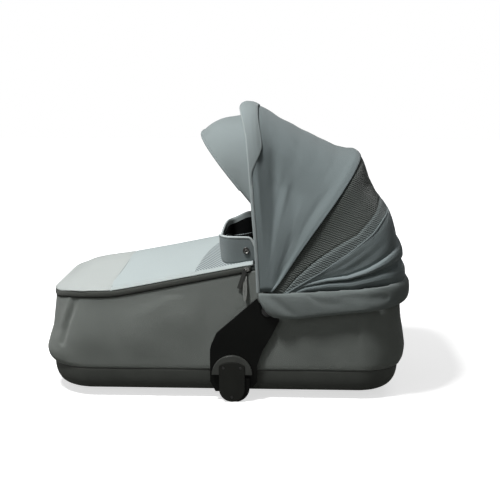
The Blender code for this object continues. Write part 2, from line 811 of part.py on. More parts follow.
def cloth_grid(first, last, row_shares, crown_at):
    """Grid of hood cloth; first and last give angle, crown, squareness and edge offset.

    The first and last strips lie flat on the two ribs, and the cloth changes shape between them.
    """
    angle_a, crown_a, square_a, edge_a = first
    angle_b, crown_b, square_b, edge_b = last
    grid = []
    for part in row_shares:
        between = (part - row_shares[1]) / (row_shares[-2] - row_shares[1])
        between = min(max(between, 0.0), 1.0)
        crown = crown_at(between, crown_a, crown_b)
        square = square_a + (square_b - square_a) * between
        line = [(reach, -cloth_layer) for reach in cloth_leg_starts]
        line += [arch_point(crown, cloth_layer, square, math.pi * k / cloth_columns)
                 for k in range(cloth_columns + 1)]
        line += [(reach, cloth_layer) for reach in reversed(cloth_leg_starts)]
        row = []
        for reach, across in line:
            start = angle_a - edge_a(reach) / reach
            end = angle_b + edge_b / reach
            row.append(hood_place(start + (end - start) * part, reach, across))
        grid.append(row)
    return grid


def sagging(sag):
    return lambda between, start, end: start + (end - start) * between - sag * math.sin(math.pi * between)


front_edge = (front_rib_angle, front_rib_crown + cloth_lift, front_square_share,
              lambda reach: 0.5 * hem_width_at(reach) + cloth_edge_gap)
middle_crown = middle_rib_crown + cloth_lift
rear_crown = rear_rib_crown + cloth_lift
front_grid = cloth_grid(front_edge, (middle_rib_angle, middle_crown, middle_square_share, cloth_edge_gap),
                        front_row_shares, sagging(front_sag))
place("hood_panel_front", sheet(front_grid, hood_cloth_thickness), hood_cloth,
      origin=(pivot_x, 0.0, pivot_z))
mesh_grid = cloth_grid((middle_rib_angle, middle_crown, middle_square_share, lambda reach: cloth_edge_gap),
                       (rear_rib_angle, rear_crown, rear_square_share, cloth_edge_gap),
                       mesh_row_shares, sagging(mesh_sag))
place("hood_panel_mesh", sheet(mesh_grid, hood_cloth_thickness), mesh_cloth,
      origin=(pivot_x, 0.0, pivot_z))

# Rear cloth, gathered in three pleats that tuck into the valance
tuck_angle = math.radians(15.0)
pleat_rows = 12
rear_row_shares = [k / pleat_rows for k in range(pleat_rows + 1)]
pleat_shares = (1.0, 0.994, 0.980, 0.956, 0.968, 0.957, 0.967, 0.954, 0.963, 0.943, 0.934)


def pleated(between, start, end):
    place_along = between * (len(pleat_shares) - 1)
    k = min(int(place_along), len(pleat_shares) - 2)
    share = pleat_shares[k] + (place_along - k) * (pleat_shares[k + 1] - pleat_shares[k])
    return start + (end - start) * between + start * (share - 1)


rear_grid = cloth_grid((rear_rib_angle, rear_crown, rear_square_share, lambda reach: cloth_edge_gap),
                       (tuck_angle, rear_crown, rear_square_share, 0.0),
                       rear_row_shares, pleated)
place("hood_panel_rear", sheet(rear_grid, hood_cloth_thickness), hood_cloth,
      origin=(pivot_x, 0.0, pivot_z))

# Sun visor: a sprung wire hinged in the front rib, with cloth back to the hem
visor_reach = 0.2225
visor_side_inset = 0.0244
visor_half_width = cloth_layer - visor_side_inset
visor_crown = 0.2090
visor_square_share = 3.0
visor_angle = math.radians(129.5)
visor_root_drop = 0.0180
visor_puff = 0.0110
visor_fall = 2.0
visor_puff_lean = math.radians(24)
visor_wire_radius = 0.0020
visor_pin_gap = 0.0003
visor_steps = 20
visor_rows = 4
visor_start = math.radians(9)
visor_hem_start = math.radians(14)
visor_hinge = hood_place(front_rib_angle, visor_reach, 0.0)


def visor_point(crown, half_width, turn):
    power = 2 / visor_square_share
    reach = crown * math.sin(turn) ** power
    across = math.copysign(half_width * abs(math.cos(turn)) ** power, -math.cos(turn))
    return visor_hinge + Vector((reach * math.cos(visor_angle), across, reach * math.sin(visor_angle)))


visor_reach_share = (visor_reach - arch_start) / (front_rib_crown - arch_start)
rib_turn = math.asin(visor_reach_share ** (front_square_share / 2))
hinge_across = arch_point(front_rib_crown, front_layer, front_square_share, rib_turn)[1]
pin_end = abs(hinge_across) + 0.5 * rib_thickness - fit_gap
wire_line = [visor_hinge + Vector((0, -pin_end, 0))]
wire_line += [visor_point(visor_crown, visor_half_width, math.pi * k / visor_steps)
              for k in range(visor_steps + 1)]
wire_line += [visor_hinge + Vector((0, pin_end, 0))]
rod("visor_wire", wire_line, visor_wire_radius, spring_steel, origin=visor_hinge, resolution=1)

visor_bore = turned(visor_hinge, (0, 1, 0),
                    ((-cloth_layer + hood_cloth_thickness, visor_wire_radius + visor_pin_gap),
                     (cloth_layer - hood_cloth_thickness, visor_wire_radius + visor_pin_gap)), 16)
change(rib_front, place("cut_visor_bore", visor_bore, black_plastic), "DIFFERENCE")

visor_lift = visor_wire_radius + fit_gap + 0.5 * hood_cloth_thickness
visor_up = Vector((-math.sin(visor_puff_lean), 0.0, math.cos(visor_puff_lean)))
visor_grid = []
for row in range(visor_rows + 1):
    part = row / visor_rows
    points = []
    for k in range(visor_steps + 1):
        wire_turn = visor_start + (math.pi - 2 * visor_start) * k / visor_steps
        hem_turn = visor_hem_start + (math.pi - 2 * visor_hem_start) * k / visor_steps
        edge = visor_point(visor_crown + visor_lift, visor_half_width + visor_lift, wire_turn)
        hem_reach, hem_across = arch_point(front_rib_crown + cloth_lift, cloth_layer,
                                           front_square_share, hem_turn)
        crown_share = max(0.0, (hem_reach - arch_start) / (front_rib_crown - arch_start)) ** visor_fall
        root = hood_place(front_rib_angle, hem_reach - visor_root_drop * crown_share, hem_across,
                          0.5 * hem_width_at(hem_reach) + cloth_edge_gap)
        puff = visor_puff * crown_share * math.sin(math.pi * part)
        points.append(root.lerp(edge, part) + visor_up * puff)
    visor_grid.append(points)
place("visor_cloth", sheet(visor_grid, hood_cloth_thickness), hem_cloth, origin=visor_hinge)

# Valance: a padded band round the head end that covers the hinges
valance_front_x = 0.0774
valance_clearance = 0.0040
valance_thickness = 0.0075
valance_end_inner = 0.0205
valance_end_thickness = 0.0125
valance_top_front = 0.2560
valance_top_head = 0.3095
valance_low_front = 0.1951
valance_low_head = 0.2230
valance_top_power_share = 2.2
valance_round_share = 0.28
valance_curl_start_share = 0.20
valance_curl_end_share = 0.42
valance_edge_gap = 0.0006
valance_inner_side = cloth_layer + 0.5 * hood_cloth_thickness + valance_clearance - rim_half_width


def wall_outer(out, x, z):
    bottom = seam_height + fit_gap
    top = rim_height(x) - wall_top_drop
    return wall_out + wall_bulge(out, min(max((z - bottom) / (top - bottom), 0.0), 1.0))


def valance_section(point, out):
    reach = max(point.x, valance_front_x)
    share = (reach - valance_front_x) / (rim_head_x - valance_front_x)
    top = valance_top_front + (valance_top_head - valance_top_front) * share ** valance_top_power_share
    climb = max(0.0, share - valance_round_share) / (1 - valance_round_share)
    low = valance_low_front + (valance_low_head - valance_low_front) * climb
    if share < valance_round_share:
        rounding = ((valance_round_share - share) / valance_round_share) ** 4
        low += (valance_top_front - valance_low_front) * 0.95 * rounding
    inner = by_direction(out, valance_inner_side, valance_end_inner, valance_end_inner)
    thick = by_direction(out, valance_thickness, valance_end_thickness, valance_end_thickness)
    curl = min(max((share - valance_curl_start_share)
                   / (valance_curl_end_share - valance_curl_start_share), 0.0), 1.0)
    curl = curl * curl * (3 - 2 * curl)
    tip = inner + (wall_outer(out, point.x, low) + valance_edge_gap - inner) * curl
    depth = top - low
    return [(inner + 0.60 * thick, low), (inner + 0.93 * thick, low + 0.15 * depth),
            (inner + thick, low + 0.50 * depth), (inner + 0.90 * thick, low + 0.82 * depth),
            (inner + 0.55 * thick, top), (inner, top - 0.05 * depth),
            (inner, low + 0.25 * depth), (tip, low + 0.10 * depth), (tip, low + 0.02 * depth)]


head_stations = []
for side_name, side in reversed(sides):
    for k in range(10):
        x = valance_front_x + (rim_head_x - rim_corner_radius - valance_front_x) * (k / 10) ** 1.5
        head_stations.append((Vector((x, side * rim_half_width)), Vector((0.0, side))))
left_part = list(head_stations[:10])
right_part = list(head_stations[10:])
corner_x = rim_head_x - rim_corner_radius - fit_gap
corner_part = [station for station in rim_stations() if station[0].x > corner_x]
upper_corner = sorted((s for s in corner_part if s[0].y > 0), key=lambda s: -s[0].y + s[0].x)
lower_corner = sorted((s for s in corner_part if s[0].y <= 0), key=lambda s: -s[0].y - s[0].x)
valance_path = left_part + upper_corner + lower_corner + list(reversed(right_part))
place("valance", band(valance_path, valance_section, False), valance_cloth)

# Zip tape round the foot end of the rim
zip_end_x = 0.062
zip_low_drop = 0.0040
zip_top_rise = 0.0062
zip_inner_out = rim_tube_radius + fit_gap


def zip_section(point, out):
    z = rim_height(point.x)
    return [(wall_out, z - zip_low_drop), (wall_out, z + zip_top_rise),
            (zip_inner_out, z + zip_top_rise), (zip_inner_out, z - zip_low_drop)]


zip_path = [station for station in rim_stations() if station[0].x < zip_end_x]
place("zip_tape", band(zip_path, zip_section, False), lining_cloth)

# Apron: a domed cover from the foot end to the collar
apron_thickness = 0.003
apron_dome = 0.041
apron_foot_run = 0.165
apron_square_share = 2.4
apron_seat_gap = 0.0003
apron_seat = rim_tube_radius + apron_seat_gap + 0.5 * apron_thickness
apron_half_width = rim_half_width + wall_out
collar_x = -0.004
collar_depth = 0.072
collar_side_inset = 0.010
collar_half_width = rim_half_width - collar_side_inset
collar_square_share = 6.0
collar_set_back = 0.005
collar_thickness = 0.003
collar_rise = 0.1365
collar_top = rim_foot_height + collar_rise
collar_end_drop = 0.022
collar_end_run = 0.018
apron_rows = 16
apron_columns = 16


def apron_foot(y):
    radius = rim_corner_radius + wall_out
    past = abs(y) - (apron_half_width - radius)
    if past <= 0:
        return rim_foot_x - wall_out
    return rim_foot_x - wall_out + radius - math.sqrt(max(radius ** 2 - past ** 2, 0.0))


def collar_line(y):
    part = min(abs(y) / collar_half_width, 1.0)
    return collar_x + collar_depth * (1 - (1 - part ** collar_square_share) ** (1 / collar_square_share))


def apron_height(x, y):
    across = 1 - (abs(y) / apron_half_width) ** apron_square_share
    run = min(max((x - apron_foot(y)) / apron_foot_run, 0.0), 1.0)
    return rim_height(x) + apron_seat + apron_dome * across * (1 - (1 - run) ** 2)


apron_grid = []
for i in range(apron_rows + 1):
    y = apron_half_width * math.sin(0.5 * math.pi * (2 * i / apron_rows - 1))
    row = []
    for j in range(apron_columns + 1):
        x = apron_foot(y) + (collar_line(y) - apron_foot(y)) * j / apron_columns
        row.append(Vector((x, y, apron_height(x, y))))
    apron_grid.append(row)
place("apron", sheet(apron_grid, apron_thickness), apron_cloth)

# Wind collar standing on the apron round the baby's face, with a press stud at each end
collar_seat = 0.5 * apron_thickness + 0.0010
collar_end_x = collar_x - collar_set_back + collar_depth
collar_outer = collar_half_width + collar_set_back
half_shares = (0.0004, 0.0035, 0.0118, 0.030, 0.055, 0.096, 0.156, 0.220, 0.280,
               0.337, 0.385, 0.420, 0.450, 0.475, 0.490, 0.497, 0.499, 0.5)
collar_shares = [0.5 - share for share in reversed(half_shares)] + [0.5]
collar_shares += [0.5 + share for share in half_shares]
collar_share_step = 0.0100


def collar_station(part):
    """Point, outward direction and top height at a share of the way along the collar."""
    power = 2 / collar_square_share

    def at(share):
        turn = math.pi * (share - 0.5)
        across = math.copysign(collar_outer * abs(math.sin(turn)) ** power, math.sin(turn))
        back = collar_depth * (1 - abs(math.cos(turn)) ** power)
        return Vector((collar_x - collar_set_back + back, across))

    point = at(part)
    ahead = at(min(part + collar_share_step, 1.0))
    behind = at(max(part - collar_share_step, 0.0))
    run = (ahead - behind).normalized()
    end_share = max(0.0, 1 - (collar_end_x - point.x) / collar_end_run)
    return point, Vector((-run.y, run.x)), collar_top - collar_end_drop * end_share ** 2


collar_rings = []
for share in collar_shares:
    point, out, top = collar_station(share)
    ring = []
    for offset, raised in ((0.5, False), (0.5, True), (-0.5, True), (-0.5, False)):
        spot = point + out * (offset * collar_thickness)
        z = top if raised else apron_height(spot.x, spot.y) + collar_seat
        ring.append((spot.x, spot.y, z))
    collar_rings.append(ring)
place("wind_collar", loft(collar_rings, True, False), hem_cloth)

stud_end_inset = 0.0102
stud_drop = 0.031
stud_radius = 0.0055
stud_thickness = 0.0022
stud_dome = 0.0008

for side_name, side in sides:
    base_y = side * (collar_outer + 0.5 * collar_thickness + fit_gap)
    profile = ((0.0, stud_radius), (stud_thickness - stud_dome, stud_radius),
               (stud_thickness, 0.6 * stud_radius))
    stud = turned((collar_end_x - stud_end_inset, base_y, collar_top - stud_drop), (0, side, 0), profile, 16)
    place(f"press_stud_{side_name}", stud, dark_steel)

# Zip slider with its pull and ribbon, on the right-hand side
slider_x = 0.0520
slider_half_length = 0.0065
slider_half_height = 0.0050
slider_thickness = 0.0026
slider_pin_radius = 0.0014
slider_pin_length = 0.0022
pull_gap = 0.0003
pull_thickness = 0.0014
pull_length = 0.0480
pull_width = 0.0085
pull_tilt = math.radians(18)
pull_corner = 0.0020
ribbon_thickness = 0.0014
ribbon_width = 0.0120
ribbon_tip_drop = 0.0055
ribbon_overlap = 0.0120
ribbon_gap = 0.0003
slider_z = rim_height(slider_x) + 0.5 * (zip_top_rise - zip_low_drop)
slider_inner = rim_half_width + wall_out + fit_gap
slider_outer = slider_inner + slider_thickness


def tilted(points, centre_x, centre_z, turn):
    moved = []
    for x, z in points:
        moved.append((centre_x + x * math.cos(turn) - z * math.sin(turn),
                      centre_z + x * math.sin(turn) + z * math.cos(turn)))
    return moved


zip_slope = math.atan(rim_rise_share)
slider_shape = [
    (-slider_half_length, 0.6 * slider_half_height),
    (-slider_half_length, -0.6 * slider_half_height),
    (-0.4 * slider_half_length, -slider_half_height),
    (slider_half_length, -0.7 * slider_half_height),
    (slider_half_length, 0.7 * slider_half_height),
    (-0.4 * slider_half_length, slider_half_height),
]
slider_outline = tilted(slider_shape, slider_x, slider_z, zip_slope)
slider = place("zip_slider", slab(slider_outline, -slider_inner, -slider_outer), dark_steel,
               origin=(slider_x, -slider_inner, slider_z), smooth=False)
slider_pin = turned((slider_x, 0, slider_z), (0, -1, 0),
                    ((slider_outer - fit_gap, slider_pin_radius),
                     (slider_outer + slider_pin_length, slider_pin_radius)), 12)
change(slider, place("join_slider_pin", slider_pin, dark_steel), "UNION")

pull_inner = slider_outer + pull_gap
pull_shape = [
    (-pull_width + pull_corner, -pull_length + pull_corner),
    (pull_corner, -pull_length + pull_corner),
    (1.4 * pull_corner, pull_corner),
    (-pull_width + pull_corner, pull_corner),
]
pull_outline = tilted(pull_shape, slider_x, slider_z, -pull_tilt)
pull = place("zip_pull", slab(pull_outline, -pull_inner, -(pull_inner + pull_thickness)), dark_steel,
             origin=(slider_x, -slider_outer, slider_z), smooth=False)
pull_hole = turned((slider_x, 0, slider_z), (0, -1, 0),
                   ((slider_outer - fit_gap, slider_pin_radius + pull_gap),
                    (slider_outer + slider_pin_length + overrun, slider_pin_radius + pull_gap)), 12)
change(pull, place("cut_pull_hole", pull_hole, dark_steel), "DIFFERENCE")

ribbon_outer = pull_inner - ribbon_gap
ribbon_top = slider_z - ribbon_overlap
ribbon_end = arm_tip_height - ribbon_tip_drop
ribbon_low = (slider_x - 0.5 * ribbon_width - pull_corner, -ribbon_outer, ribbon_end)
ribbon_high = (slider_x + 0.5 * ribbon_width - pull_corner, -(ribbon_outer - ribbon_thickness), ribbon_top)
place("pull_ribbon", box(ribbon_low, ribbon_high), hood_cloth, smooth=False,
      origin=(slider_x, -slider_outer, slider_z))
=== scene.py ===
import math
from functools import partial

import bmesh
import bpy
import numpy as np
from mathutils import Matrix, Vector, noise


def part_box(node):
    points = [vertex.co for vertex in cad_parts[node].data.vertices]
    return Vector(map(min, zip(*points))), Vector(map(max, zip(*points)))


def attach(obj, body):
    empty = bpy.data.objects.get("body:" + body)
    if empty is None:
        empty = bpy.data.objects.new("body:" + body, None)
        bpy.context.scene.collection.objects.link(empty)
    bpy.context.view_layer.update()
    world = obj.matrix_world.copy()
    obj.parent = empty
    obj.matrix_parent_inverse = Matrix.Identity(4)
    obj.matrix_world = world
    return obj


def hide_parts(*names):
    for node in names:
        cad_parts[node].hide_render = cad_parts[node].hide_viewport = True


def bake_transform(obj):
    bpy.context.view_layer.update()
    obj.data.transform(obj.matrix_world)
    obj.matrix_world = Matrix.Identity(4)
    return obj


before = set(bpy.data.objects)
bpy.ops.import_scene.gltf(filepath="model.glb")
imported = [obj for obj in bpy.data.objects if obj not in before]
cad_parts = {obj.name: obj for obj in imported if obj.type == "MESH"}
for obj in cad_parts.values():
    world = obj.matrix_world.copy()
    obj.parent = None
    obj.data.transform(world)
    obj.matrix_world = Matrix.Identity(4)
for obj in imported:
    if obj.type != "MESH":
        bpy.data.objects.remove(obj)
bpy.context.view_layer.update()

# The camera stands on the right-hand side, a little above the hood, and looks slightly down.
# Its lens gives the photograph's frame.
camera_tilt = math.radians(11.287)
camera_turn = math.radians(2.347)
camera_data = bpy.data.cameras.new("camera")
camera_data.sensor_width = 36.0
camera_data.lens = 68.9
camera = bpy.data.objects.new("camera", camera_data)
camera.location = (0.1462, -2.2789, 0.7659)
gaze = Vector((-math.sin(camera_turn) * math.cos(camera_tilt),
               math.cos(camera_turn) * math.cos(camera_tilt), -math.sin(camera_tilt)))
camera.rotation_mode = "QUATERNION"
camera.rotation_quaternion = gaze.to_track_quat("-Z", "Y")
bpy.context.scene.collection.objects.link(camera)
bpy.context.scene.camera = camera
bpy.context.scene.view_settings.view_transform = "Standard"

# A plain pale floor under an even pale surround. The floor is darker to the light that it throws
# back, as the underside of the tub is dark, and it keeps the shadow.
world = bpy.data.worlds.new("surround")
world.use_nodes = True
bpy.context.scene.world = world
sky_nodes = world.node_tree.nodes
sky_links = world.node_tree.links
sky = sky_nodes["Background"]
sky.inputs["Color"].default_value = (1.0, 1.0, 1.0, 1.0)
sky_path = sky_nodes.new("ShaderNodeLightPath")
sky_seen = sky_nodes.new("ShaderNodeMath")
sky_seen.operation = "MAXIMUM"
sky_seen_through = sky_nodes.new("ShaderNodeMath")
sky_seen_through.operation = "MAXIMUM"
sky_strength = sky_nodes.new("ShaderNodeMapRange")
sky_strength.inputs["To Min"].default_value = 0.12
sky_strength.inputs["To Max"].default_value = 1.0
sky_links.new(sky_path.outputs["Is Camera Ray"], sky_seen.inputs[0])
sky_links.new(sky_path.outputs["Is Glossy Ray"], sky_seen.inputs[1])
sky_links.new(sky_seen.outputs[0], sky_seen_through.inputs[0])
sky_links.new(sky_path.outputs["Is Transmission Ray"], sky_seen_through.inputs[1])
sky_links.new(sky_seen_through.outputs[0], sky_strength.inputs["Value"])
sky_links.new(sky_strength.outputs["Result"], sky.inputs["Strength"])

floor_look = bpy.data.materials.new("pale_floor")
floor_look.use_nodes = True
floor_nodes = floor_look.node_tree.nodes
floor_links = floor_look.node_tree.links
floor_shader = floor_nodes["Principled BSDF"]
floor_shader.inputs["Roughness"].default_value = 1.0
floor_shader.inputs["Specular IOR Level"].default_value = 0.0
floor_shader.inputs["Emission Color"].default_value = (1.0, 1.0, 1.0, 1.0)
floor_path = floor_nodes.new("ShaderNodeLightPath")
floor_colour = floor_nodes.new("ShaderNodeMix")
floor_colour.data_type = "RGBA"
floor_colour.inputs["A"].default_value = (0.16, 0.16, 0.15, 1.0)
floor_colour.inputs["B"].default_value = (0.8, 0.8, 0.8, 1.0)
floor_place = floor_nodes.new("ShaderNodeTexCoord")
floor_far = floor_nodes.new("ShaderNodeVectorMath")
floor_far.operation = "LENGTH"
floor_level = floor_nodes.new("ShaderNodeMapRange")
floor_level.inputs["From Min"].default_value = 0.6
floor_level.inputs["From Max"].default_value = 1.8
floor_level.inputs["To Min"].default_value = 0.66
floor_level.inputs["To Max"].default_value = 1.0
floor_glow = floor_nodes.new("ShaderNodeMath")
floor_glow.operation = "MULTIPLY"
floor_links.new(floor_place.outputs["Object"], floor_far.inputs[0])
floor_links.new(floor_far.outputs["Value"], floor_level.inputs["Value"])
floor_links.new(floor_level.outputs["Result"], floor_glow.inputs[1])
floor_links.new(floor_path.outputs["Is Camera Ray"], floor_colour.inputs["Factor"])
floor_links.new(floor_colour.outputs["Result"], floor_shader.inputs["Base Color"])
floor_links.new(floor_path.outputs["Is Camera Ray"], floor_glow.inputs[0])
floor_links.new(floor_glow.outputs[0], floor_shader.inputs["Emission Strength"])
bpy.ops.mesh.primitive_plane_add(size=14.0, location=(0.0, 0.0, -0.0006))
floor = bpy.context.active_object
floor.name = "floor"
floor.data.materials.append(floor_look)


def lamp(name, place, size, power):
    """Round soft lamp, turned to the middle of the carrycot."""
    data = bpy.data.lights.new(name, "AREA")
    data.shape = "DISK"
    data.size = size
    data.energy = power
    made = bpy.data.objects.new(name, data)
    made.location = place
    aim = Vector((0.0, 0.0, 0.30)) - Vector(place)
    made.rotation_mode = "QUATERNION"
    made.rotation_quaternion = aim.to_track_quat("-Z", "Y")
    bpy.context.scene.collection.objects.link(made)


lamp("key_lamp", (-0.76, -0.92, 2.45), 0.42, 68.0)
lamp("fill_lamp", (-1.9, -2.1, 1.2), 1.5, 6.0)
lamp("back_lamp", (1.2, 2.2, 2.0), 1.4, 12.0)


# Foot rails and their pads: black moulded rails under the tray, each with two rubber pads.
# The moulding has a fine even grain.
def raised(tree, height, strength, depth):
    """Gives a finish its relief, to a depth in metres."""
    bump = tree.nodes.new("ShaderNodeBump")
    bump.inputs["Strength"].default_value = strength
    bump.inputs["Distance"].default_value = depth
    tree.links.new(height, bump.inputs["Height"])
    tree.links.new(bump.outputs["Normal"], tree.nodes["Principled BSDF"].inputs["Normal"])


def grained(name, colour, roughness, grain, depth, metallic=0.0, change=0.25, specular=0.5):
    """Moulded plastic, rubber or metal: slow colour drift, and a fine grain in gloss and relief."""
    made = bpy.data.materials.new(name)
    made.use_nodes = True
    nodes = made.node_tree.nodes
    links = made.node_tree.links
    shader = nodes["Principled BSDF"]
    shader.inputs["Metallic"].default_value = metallic
    shader.inputs["Specular IOR Level"].default_value = specular
    place = nodes.new("ShaderNodeTexCoord")
    cloud = nodes.new("ShaderNodeTexNoise")
    cloud.inputs["Scale"].default_value = 22.0
    cloud.inputs["Detail"].default_value = 4.0
    fine = nodes.new("ShaderNodeTexNoise")
    fine.inputs["Scale"].default_value = grain
    fine.inputs["Detail"].default_value = 2.0
    links.new(place.outputs["Object"], cloud.inputs["Vector"])
    links.new(place.outputs["Object"], fine.inputs["Vector"])
    tint = nodes.new("ShaderNodeValToRGB")
    tint.color_ramp.elements[0].position = 0.30
    tint.color_ramp.elements[1].position = 0.70
    tint.color_ramp.elements[0].color = (*[c * (1 - change) for c in colour], 1.0)
    tint.color_ramp.elements[1].color = (*[min(c * (1 + change), 1.0) for c in colour], 1.0)
    links.new(cloud.outputs["Fac"], tint.inputs["Fac"])
    links.new(tint.outputs["Color"], shader.inputs["Base Color"])
    gloss = nodes.new("ShaderNodeMapRange")
    gloss.inputs["From Min"].default_value = 0.3
    gloss.inputs["From Max"].default_value = 0.7
    gloss.inputs["To Min"].default_value = roughness - 0.06
    gloss.inputs["To Max"].default_value = min(roughness + 0.06, 1.0)
    links.new(fine.outputs["Fac"], gloss.inputs["Value"])
    links.new(gloss.outputs["Result"], shader.inputs["Roughness"])
    raised(made.node_tree, fine.outputs["Fac"], 0.5, depth)
    return made


def dress(node, look, round_off=0.0, segments=2):
    """Gives a rigid node its finish and, where asked, eased edges."""
    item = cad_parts[node]
    item.data.materials.clear()
    item.data.materials.append(look)
    if round_off:
        weld = item.modifiers.new("weld", "WELD")
        weld.merge_threshold = 0.00002
        ease = item.modifiers.new("ease", "BEVEL")
        ease.width = round_off
        ease.segments = segments
        ease.limit_method = "ANGLE"
        ease.angle_limit = math.radians(35)
        ease.harden_normals = True


rail_black = grained("rail_black", (0.018, 0.018, 0.017), 0.62, 900.0, 0.0002)
pad_black = grained("pad_black", (0.012, 0.012, 0.012), 0.88, 500.0, 0.0003)
for end in ("foot", "head"):
    dress(f"foot_rail_{end}", rail_black, 0.0015)
    for side in ("left", "right"):
        dress(f"foot_pad_{end}_{side}", pad_black)

# Rim tube and end stays: a drawn alloy tube bent into one closed loop, held up by two steel wires.
# Cloth hides nearly all of them.
tube_alloy = grained("tube_alloy", (0.55, 0.55, 0.56), 0.35, 700.0, 0.0001, 1.0, 0.1)
wire_steel = grained("wire_steel", (0.50, 0.50, 0.50), 0.30, 700.0, 0.0001, 1.0, 0.1)
dress("rim_frame", tube_alloy)
dress("end_stay_foot", wire_steel)
dress("end_stay_head", wire_steel)

# Base tray: one moulded shell, dark and matt, that tucks in under the tub with a rounded edge.
# The wall's lower edge stands on its rim.
rim_foot_x, rim_head_x = -0.388, 0.392
rim_half = 0.185
rim_corner = 0.085
rim_low, rim_climb, rim_turn_down = 0.2405, 0.20, 0.25
climb_starts, level_starts = -0.2645, 0.085


def rim_z(x):
    """Height of the rim's line: low at the foot, climbing to the collar, almost level behind it."""
    def eased(distance):
        blend = 0.040
        middle = (distance + blend) ** 2 / (4 * blend)
        return np.where(distance < -blend, 0.0, np.where(distance > blend, distance, middle))

    x = np.asarray(x, float)
    to_foot = np.clip((-0.340 - x) / 0.050, 0.0, 1.0)
    dip = 0.0065 * to_foot ** 2 * (3 - 2 * to_foot) - 0.0022 * np.exp(-((x + 0.300) / 0.045) ** 2)
    return rim_low + rim_climb * eased(x - climb_starts) - rim_turn_down * eased(x - level_starts) - dip


def rim_loop(side_steps, end_steps, corner_steps):
    """Places round the rim in plan, the outward directions there, and the running length."""
    across = rim_half - rim_corner
    centres = ((rim_head_x - rim_corner, across), (rim_foot_x + rim_corner, across),
               (rim_foot_x + rim_corner, -across), (rim_head_x - rim_corner, -across))
    places, outs = [], []
    for corner, centre in enumerate(centres):
        for k in range(corner_steps + 1):
            turn = 0.5 * math.pi * (corner + k / corner_steps)
            out = np.array((math.cos(turn), math.sin(turn)))
            places.append(np.array(centre) + out * rim_corner)
            outs.append(out)
        steps = side_steps if corner % 2 == 0 else end_steps
        last = places[-1]
        following = np.array(centres[(corner + 1) % 4]) + out * rim_corner
        for k in range(1, steps):
            places.append(last + (following - last) * k / steps)
            outs.append(out)
    places = np.array(places)
    runs = np.linalg.norm(np.roll(places, -1, axis=0) - places, axis=1)
    return places, np.array(outs), np.concatenate(([0.0], np.cumsum(runs)))


def by_end(outs, side_value, foot_value, head_value):
    """A measure that changes round the tub's corners, from the sides to the foot or head end."""
    end_value = np.where(outs[:, 0] > 0, head_value, foot_value)
    return side_value + (end_value - side_value) * outs[:, 0] ** 2


def skin(name, grid, look, uv=None, loop=False, thickness=0.0, offset=-1.0, marks=None):
    """Smooth mesh through a grid of points, with its cloth coordinates in metres."""
    grid = np.asarray(grid, float)
    rows, columns = grid.shape[:2]
    if uv is None:
        down = np.linalg.norm(np.diff(grid, axis=0), axis=2).mean(axis=1)
        over = np.linalg.norm(np.diff(grid, axis=1), axis=2).mean(axis=0)
        v = np.concatenate(([0.0], np.cumsum(down)))
        u = np.concatenate(([0.0], np.cumsum(over)))
        if loop:
            u = np.append(u, u[-1] + np.linalg.norm(grid[:, 0] - grid[:, -1], axis=1).mean())
        uv = np.stack(np.broadcast_arrays(u[None, :], v[:, None]), axis=2)
    faces, loops, slots = [], [], []
    for i in range(rows - 1):
        for j in range(columns if loop else columns - 1):
            k = (j + 1) % columns
            faces.append((i * columns + j, i * columns + k, (i + 1) * columns + k, (i + 1) * columns + j))
            loops += [uv[i][j], uv[i][j + 1], uv[i + 1][j + 1], uv[i + 1][j]]
            slots.append(0 if marks is None else int(marks[i][j]))
    mesh = bpy.data.meshes.new(name)
    mesh.from_pydata([tuple(p) for p in grid.reshape(-1, 3)], [], faces)
    layer = mesh.uv_layers.new(name="cloth")
    layer.data.foreach_set("uv", np.array(loops, np.float32).ravel())
    for each in look if isinstance(look, (list, tuple)) else [look]:
        mesh.materials.append(each)
    mesh.polygons.foreach_set("material_index", slots)
    mesh.shade_smooth()
    made = bpy.data.objects.new(name, mesh)
    bpy.context.scene.collection.objects.link(made)
    if thickness:
        solid = made.modifiers.new("thickness", "SOLIDIFY")
        solid.thickness = thickness
        solid.offset = offset
    return made


def tub_ring(out, z):
    """Points round the tub, set out from the rim's line, at one height or at each place's own."""
    return np.column_stack((loop_places + loop_outs * out[:, None], z + np.zeros(len(out))))


tray_bottom, seam_z = 0.0215, 0.071
tray_round = 2.3
tub_middle = 0.5 * (rim_foot_x + rim_head_x)
loop_places, loop_outs, loop_runs = rim_loop(90, 26, 30)
tray_edge = (0.2, 0.13, 0.08, 0.045, 0.02, 0.006, 0.0)
tray_rows = []
for share in np.concatenate((np.linspace(1.0, 0.3, 8), tray_edge)):
    tuck = 1 - (1 - (1 - share) ** tray_round) ** (1 / tray_round)
    out = by_end(loop_outs, 0.005, 0.016, 0.009) - tuck * by_end(loop_outs, 0.017, 0.030, 0.030)
    tray_rows.append(tub_ring(out, tray_bottom + (seam_z - tray_bottom) * share))
tray_middle = np.array((tub_middle, 0.0, tray_bottom))
tray_rim = tray_rows[-1]
for share in (0.97, 0.8, 0.4, 0.02):
    tray_rows.append(tray_middle + (tray_rim - tray_middle) * share)
tray_grey = grained("tray_grey", (0.046, 0.050, 0.044), 0.78, 1100.0, 0.0003, 0.0, 0.12)
tray = skin("tray_shell", tray_rows, tray_grey, loop=True, thickness=0.0028)
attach(tray, "carrycot")
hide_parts("base_tray")


# Tub wall: dark grey melange cloth, stretched from the rim down to the tray over the end stays.
# It is fuller low down at both ends, and creases where it turns the foot corners.
def reckoned(tree, operation, first, second=None):
    """One step of arithmetic in a finish, from numbers or from other steps."""
    node = tree.nodes.new("ShaderNodeMath")
    node.operation = operation
    for slot, value in enumerate((first, second)):
        if isinstance(value, (int, float)):
            node.inputs[slot].default_value = value
        elif value is not None:
            tree.links.new(value, node.inputs[slot])
    return node.outputs[0]


